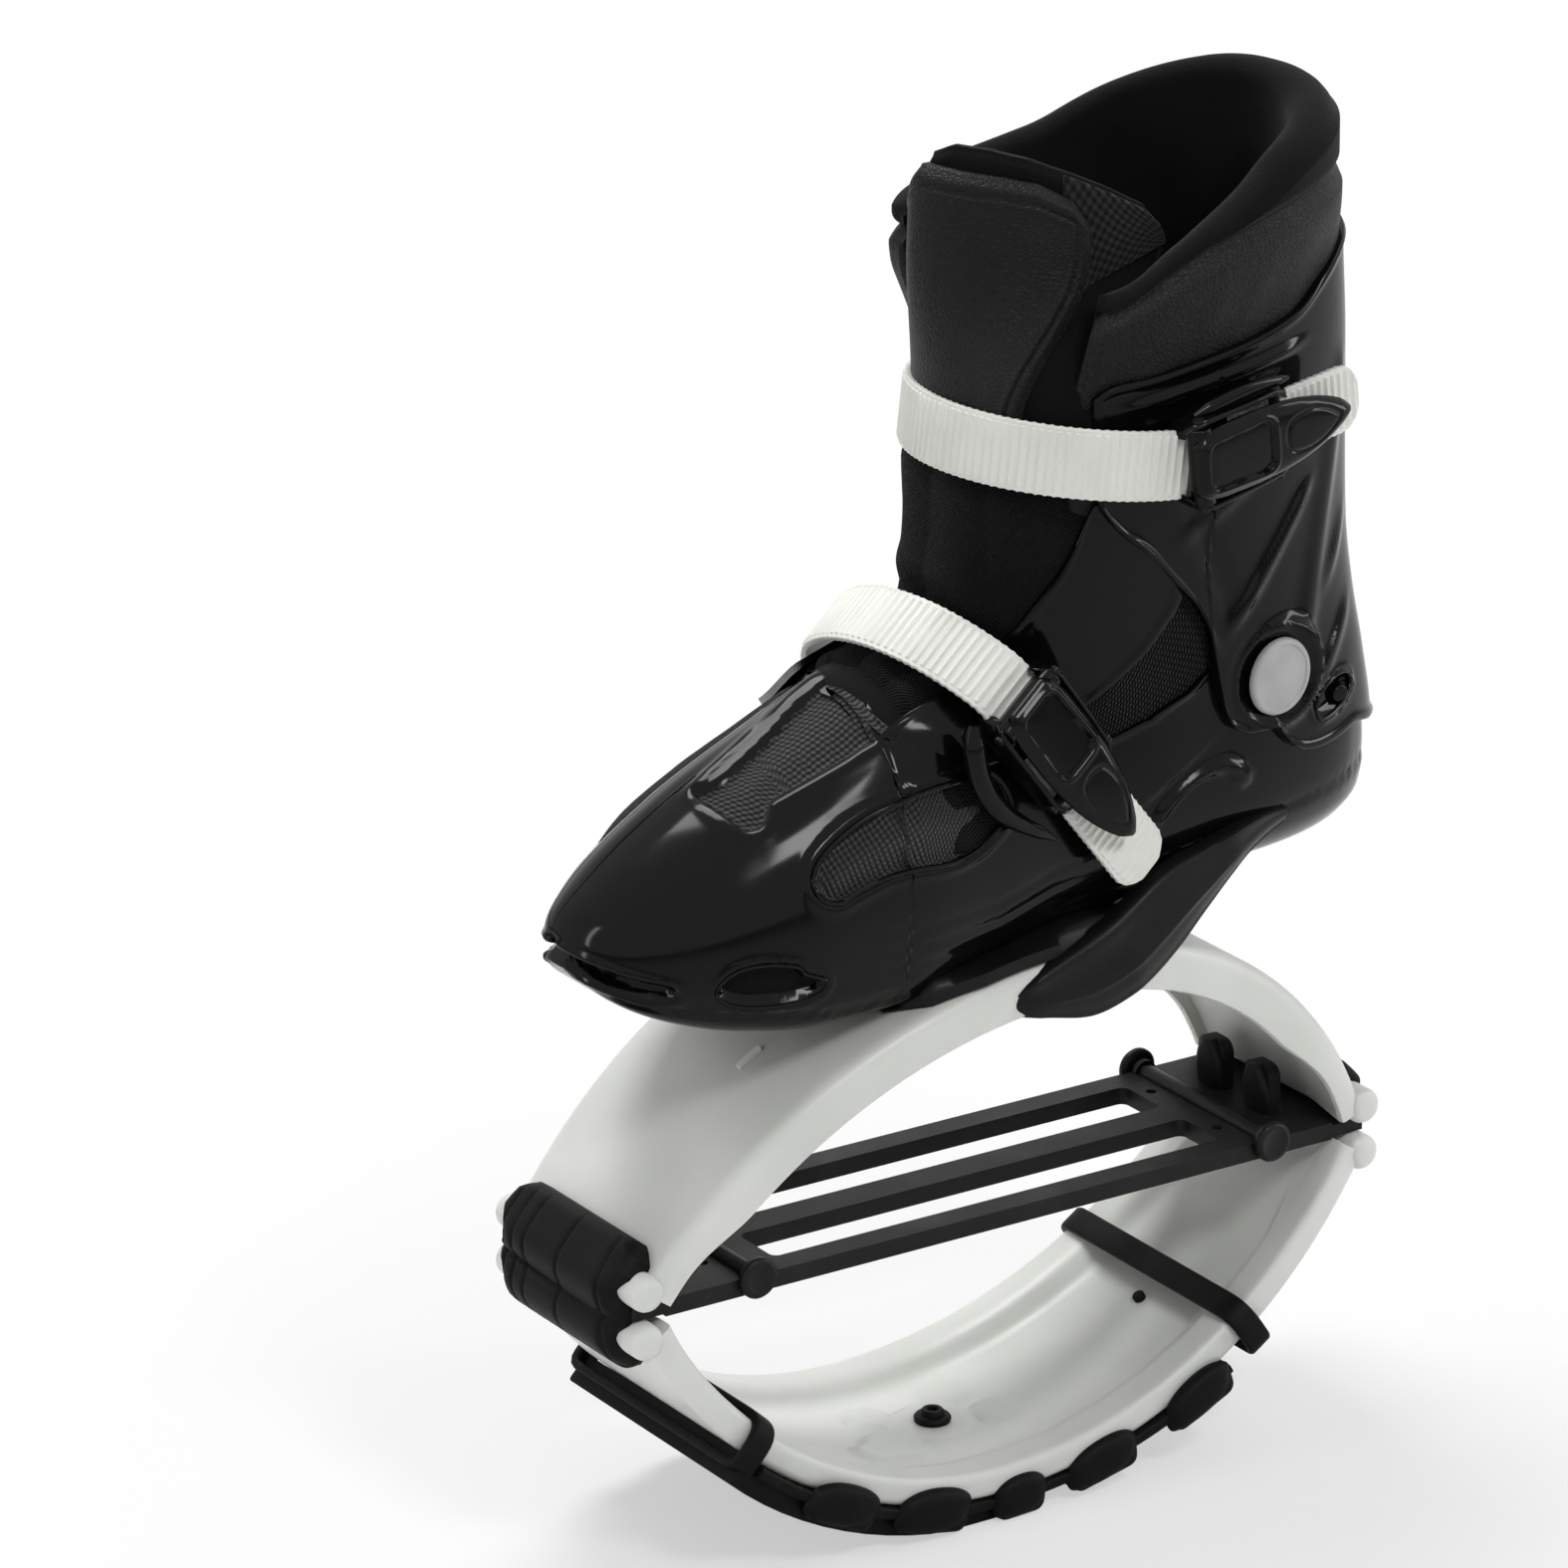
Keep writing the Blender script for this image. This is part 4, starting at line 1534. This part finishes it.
out = np.concatenate([out, np.repeat(cuff_z[None], 69, 0)])
side = np.concatenate([side, np.repeat(cuff_y[None], 69, 0)])
ratchet("cuff_ratchet", line, out, side, "cuff", "cuff_strap")

# Buckles. Each has its own plane: s along the strap, w across it, h above its underside.
PLANES = {
    "instep": (np.array([8.8073, 45.4465, 307.144]), np.array([-0.606316, 0.073066, -0.79186]),
               np.array([-0.792703, -0.134759, 0.594527]), "boot"),
    "cuff": (np.array([-49.0360, 61.6741, 384.6397]), cuff_x, cuff_y, "cuff"),
}


LEVER_HALF = [
    (-1, 8.5), (0.5, 10.8), (3, 12.2), (10, 13.3), (26, 13.5), (38, 12.9), (48, 11.4), (56, 9.4), (62, 7.2),
    (66.5, 5.0), (69.5, 2.8), (71, 0.6),
]
FRAME_HALF = [(-1.5, 13.0), (1, 15.6), (6, 17), (40, 16.4), (47, 13.5), (49, 10.5)]
FRAME_TALL = [(-1.5, 6.8), (1, 9.6), (5, 11.0), (14, 10.6), (30, 9.8), (44, 8.2), (49, 3.0)]
DROP = [
    (41, -5.5), (38.5, 0), (41, 5.5), (50, 6.8), (58, 4.6), (63, 1.2), (64, 0), (63, -1.2), (58, -4.6),
    (50, -6.8),
]


def in_plane(key, s, w, h):
    """Points in a buckle's plane, and above it."""
    origin, x_way, y_way, _ = PLANES[key]
    s, w, h = np.broadcast_arrays(s, w, h)
    return origin + s[..., None] * x_way + w[..., None] * y_way + h[..., None] * np.cross(x_way, y_way)


def lever(key):
    """A lever with a blunt mouth, a full waist and a long pointed tip, and its barrel round the pin."""
    s = np.concatenate([np.linspace(-1, 3, 9), np.linspace(3.5, 66, 126), np.linspace(66.5, 71, 14)])[:, None]
    v = np.linspace(-1, 1, 71)[None]
    half = read(LEVER_HALF, s)
    half = np.convolve(np.pad(half[:, 0], 4, "edge"), np.ones(9) / 9, "valid")[:, None]
    half[-1] = 0.4
    w = half * v
    edge = np.minimum(half - np.abs(w), np.minimum(s + 1.6, (71.6 - s) * 0.8))
    high = 11.2 + 3.0 * (1 - np.exp(-edge / 2.2))
    high -= 0.9 * smooth_step(s, 40, 71) * (s - 40) / 31
    flat = np.stack([s + 0 * w, w], -1)
    panel_edge = inside_depth(flat, rounded([(3, -8.6), (33, -9.6), (33, 9.6), (3, 8.6)], (4.5,) * 4, 6))
    high = high - 1.5 * smooth_step(panel_edge, 0.2, 1.0) + 0.45 * ridge(panel_edge + 0.9, 0.7)
    high -= 0.5 * ridge(inside_depth(flat, curve_through(DROP, 60, True)), 0.7)
    barrel = in_plane(key, 4.0, np.array([-13.9, 13.9]), 7.6)
    patches = [slab(in_plane(key, s, w, high), in_plane(key, s, w * 0.985, 9.3 + 0.6 * np.abs(v) ** 6)),
               bar(barrel[0], barrel[1], 4.3, 0.6)]
    piece(key + "_lever", patches, BUCKLE, key + "_lever", (key + "_buckle_lever",),
          sharp=50)


def buckle_frame(key):
    """A buckle's two cheeks, floor, bridge and horn."""
    s = np.linspace(-1.5, 49, 60)[:, None]
    plan, tall = read(FRAME_HALF, s), read(FRAME_TALL, s)
    turn = np.linspace(0, 2 * pi, 20, endpoint=False)[None]
    height = (tall - 2.6) / 2 + (tall / 2 + 1.3) * signed_power(np.sin(turn), 0.7)
    patches = [tube(in_plane(key, s, sign * (plan - 1.35) + 1.35 * signed_power(np.cos(turn), 0.7), height))
               for sign in (-1, 1)]
    w = plan * np.linspace(-1, 1, 21)[None]
    patches.append(slab(in_plane(key, s, w, -0.25), in_plane(key, s, w * 0.96, -2.8)))
    patches.append(tube(in_plane(key, [[13.4, 18.6, 18.6, 13.4]], [[-15.5], [15.5]], [[3.1, 3.1, 5.7, 5.7]])))
    t = np.linspace(0, 1, 60)
    if key == "instep":
        horn = -6 + 62 * t, -(18.5 + 11.5 * np.sin(pi * t ** 0.8) ** 1.1), 4.5 - 6.0 * t
        size = np.interp(t, [0, 0.1, 0.5, 0.85, 1], [2.6, 4.4, 4.2, 2.4, 0.5])
    else:
        horn = 4 + 44 * t, 17.2 + 2.6 * np.sin(pi * t), 5.5 + 1.5 * np.sin(pi * t)
        size = np.interp(t, [0, 0.15, 0.5, 0.9, 1], [1.2, 2.6, 2.4, 1.6, 0.6])
    _, x_way, y_way, body = PLANES[key]
    patches.append(rope(in_plane(key, *horn), size, steps=14, flatten=0.75, up=np.cross(x_way, y_way)))
    piece(key + "_buckle_frame", patches, BUCKLE, body, (key + "_buckle_base",),
          sharp=50)


for key in PLANES:
    lever(key)
    buckle_frame(key)
    for part, finish in (("buckle_pawl", BUCKLE), ("lever_pin", ROD), ("pawl_pin", ROD), ("rivets", BUCKLE)):
        repaint(key + "_" + part, finish)


# Floor, light and background
PLAIN_SKY = 0.30
FLOOR_REACH = 14


def pale_ground():
    """A white floor that keeps the shadow: lit near the model, and plain white for the camera further off."""
    make = Finish("pale_ground")
    path = make.add("ShaderNodeLightPath", output="Is Camera Ray")
    distance = make.add("ShaderNodeVectorMath", {"operation": "LENGTH"}, {0: make.place()}, "Value")
    off = distance.between(0.16, 0.42)
    lit = make.add("ShaderNodeBsdfDiffuse", {}, {"Color": (0.93, 0.93, 0.93, 1)})
    glow = make.add("ShaderNodeEmission", {}, {"Color": (1, 1, 1, 1), "Strength": 1.0})
    return make.done(make.add("ShaderNodeMixShader", {}, {0: path * (off * 0.47 + 0.52), 1: lit, 2: glow}))


ground_mesh = bpy.data.meshes.new("ground")
ground_mesh.from_pydata([(FLOOR_REACH * a, FLOOR_REACH * b, 0) for a, b in
                         ((-1, -1), (1, -1), (1, 1), (-1, 1))],
                        [], [(0, 1, 2, 3)])
ground_mesh.materials.append(pale_ground())
ground = bpy.data.objects.new("ground", ground_mesh)
scene.collection.objects.link(ground)
ground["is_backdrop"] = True

world = bpy.data.worlds.new("white_room")
scene.world = world
room = Finish("white_room", world)
seen = room.add("ShaderNodeLightPath", output="Is Camera Ray")
for ray in ("Is Glossy Ray", "Is Transmission Ray"):
    seen = seen.math("MAXIMUM", room.add("ShaderNodeLightPath", output=ray))
plain_sky, white_sky = (room.add("ShaderNodeBackground", {}, {"Color": (1, 1, 1, 1), "Strength": strength})
                        for strength in (PLAIN_SKY, 1.0))
room.done(room.add("ShaderNodeMixShader", {}, {0: seen, 1: plain_sky, 2: white_sky}))


def softbox(name, place, aim, size, power):
    data = bpy.data.lights.new(name, "AREA")
    data.shape = "RECTANGLE"
    data.size, data.size_y = size
    data.energy = power
    lamp = bpy.data.objects.new(name, data)
    back = unit(np.asarray(place, float) - np.asarray(aim, float))
    side = unit(np.cross((0, 0, 1), back)) if abs(back[2]) < 0.99 else np.array([1.0, 0, 0])
    over = np.cross(back, side)
    set_place(lamp, side, over, back, place)


softbox("top", (0.05, -0.58, 1.75), (0, 0, 0.26), (0.92, 0.58), 19)
softbox("near", (0.05, 1.35, 1.60), (0, 0, 0.2), (0.40, 0.40), 10)
softbox("left", (2.0, -0.1, 1.0), (0, 0, 0.28), (0.16, 1.3), 6)
softbox("right", (-1.55, 0.75, 0.9), (-0.05, 0, 0.3), (0.16, 1.5), 7)

scene.view_settings.view_transform = "Standard"
low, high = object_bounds()
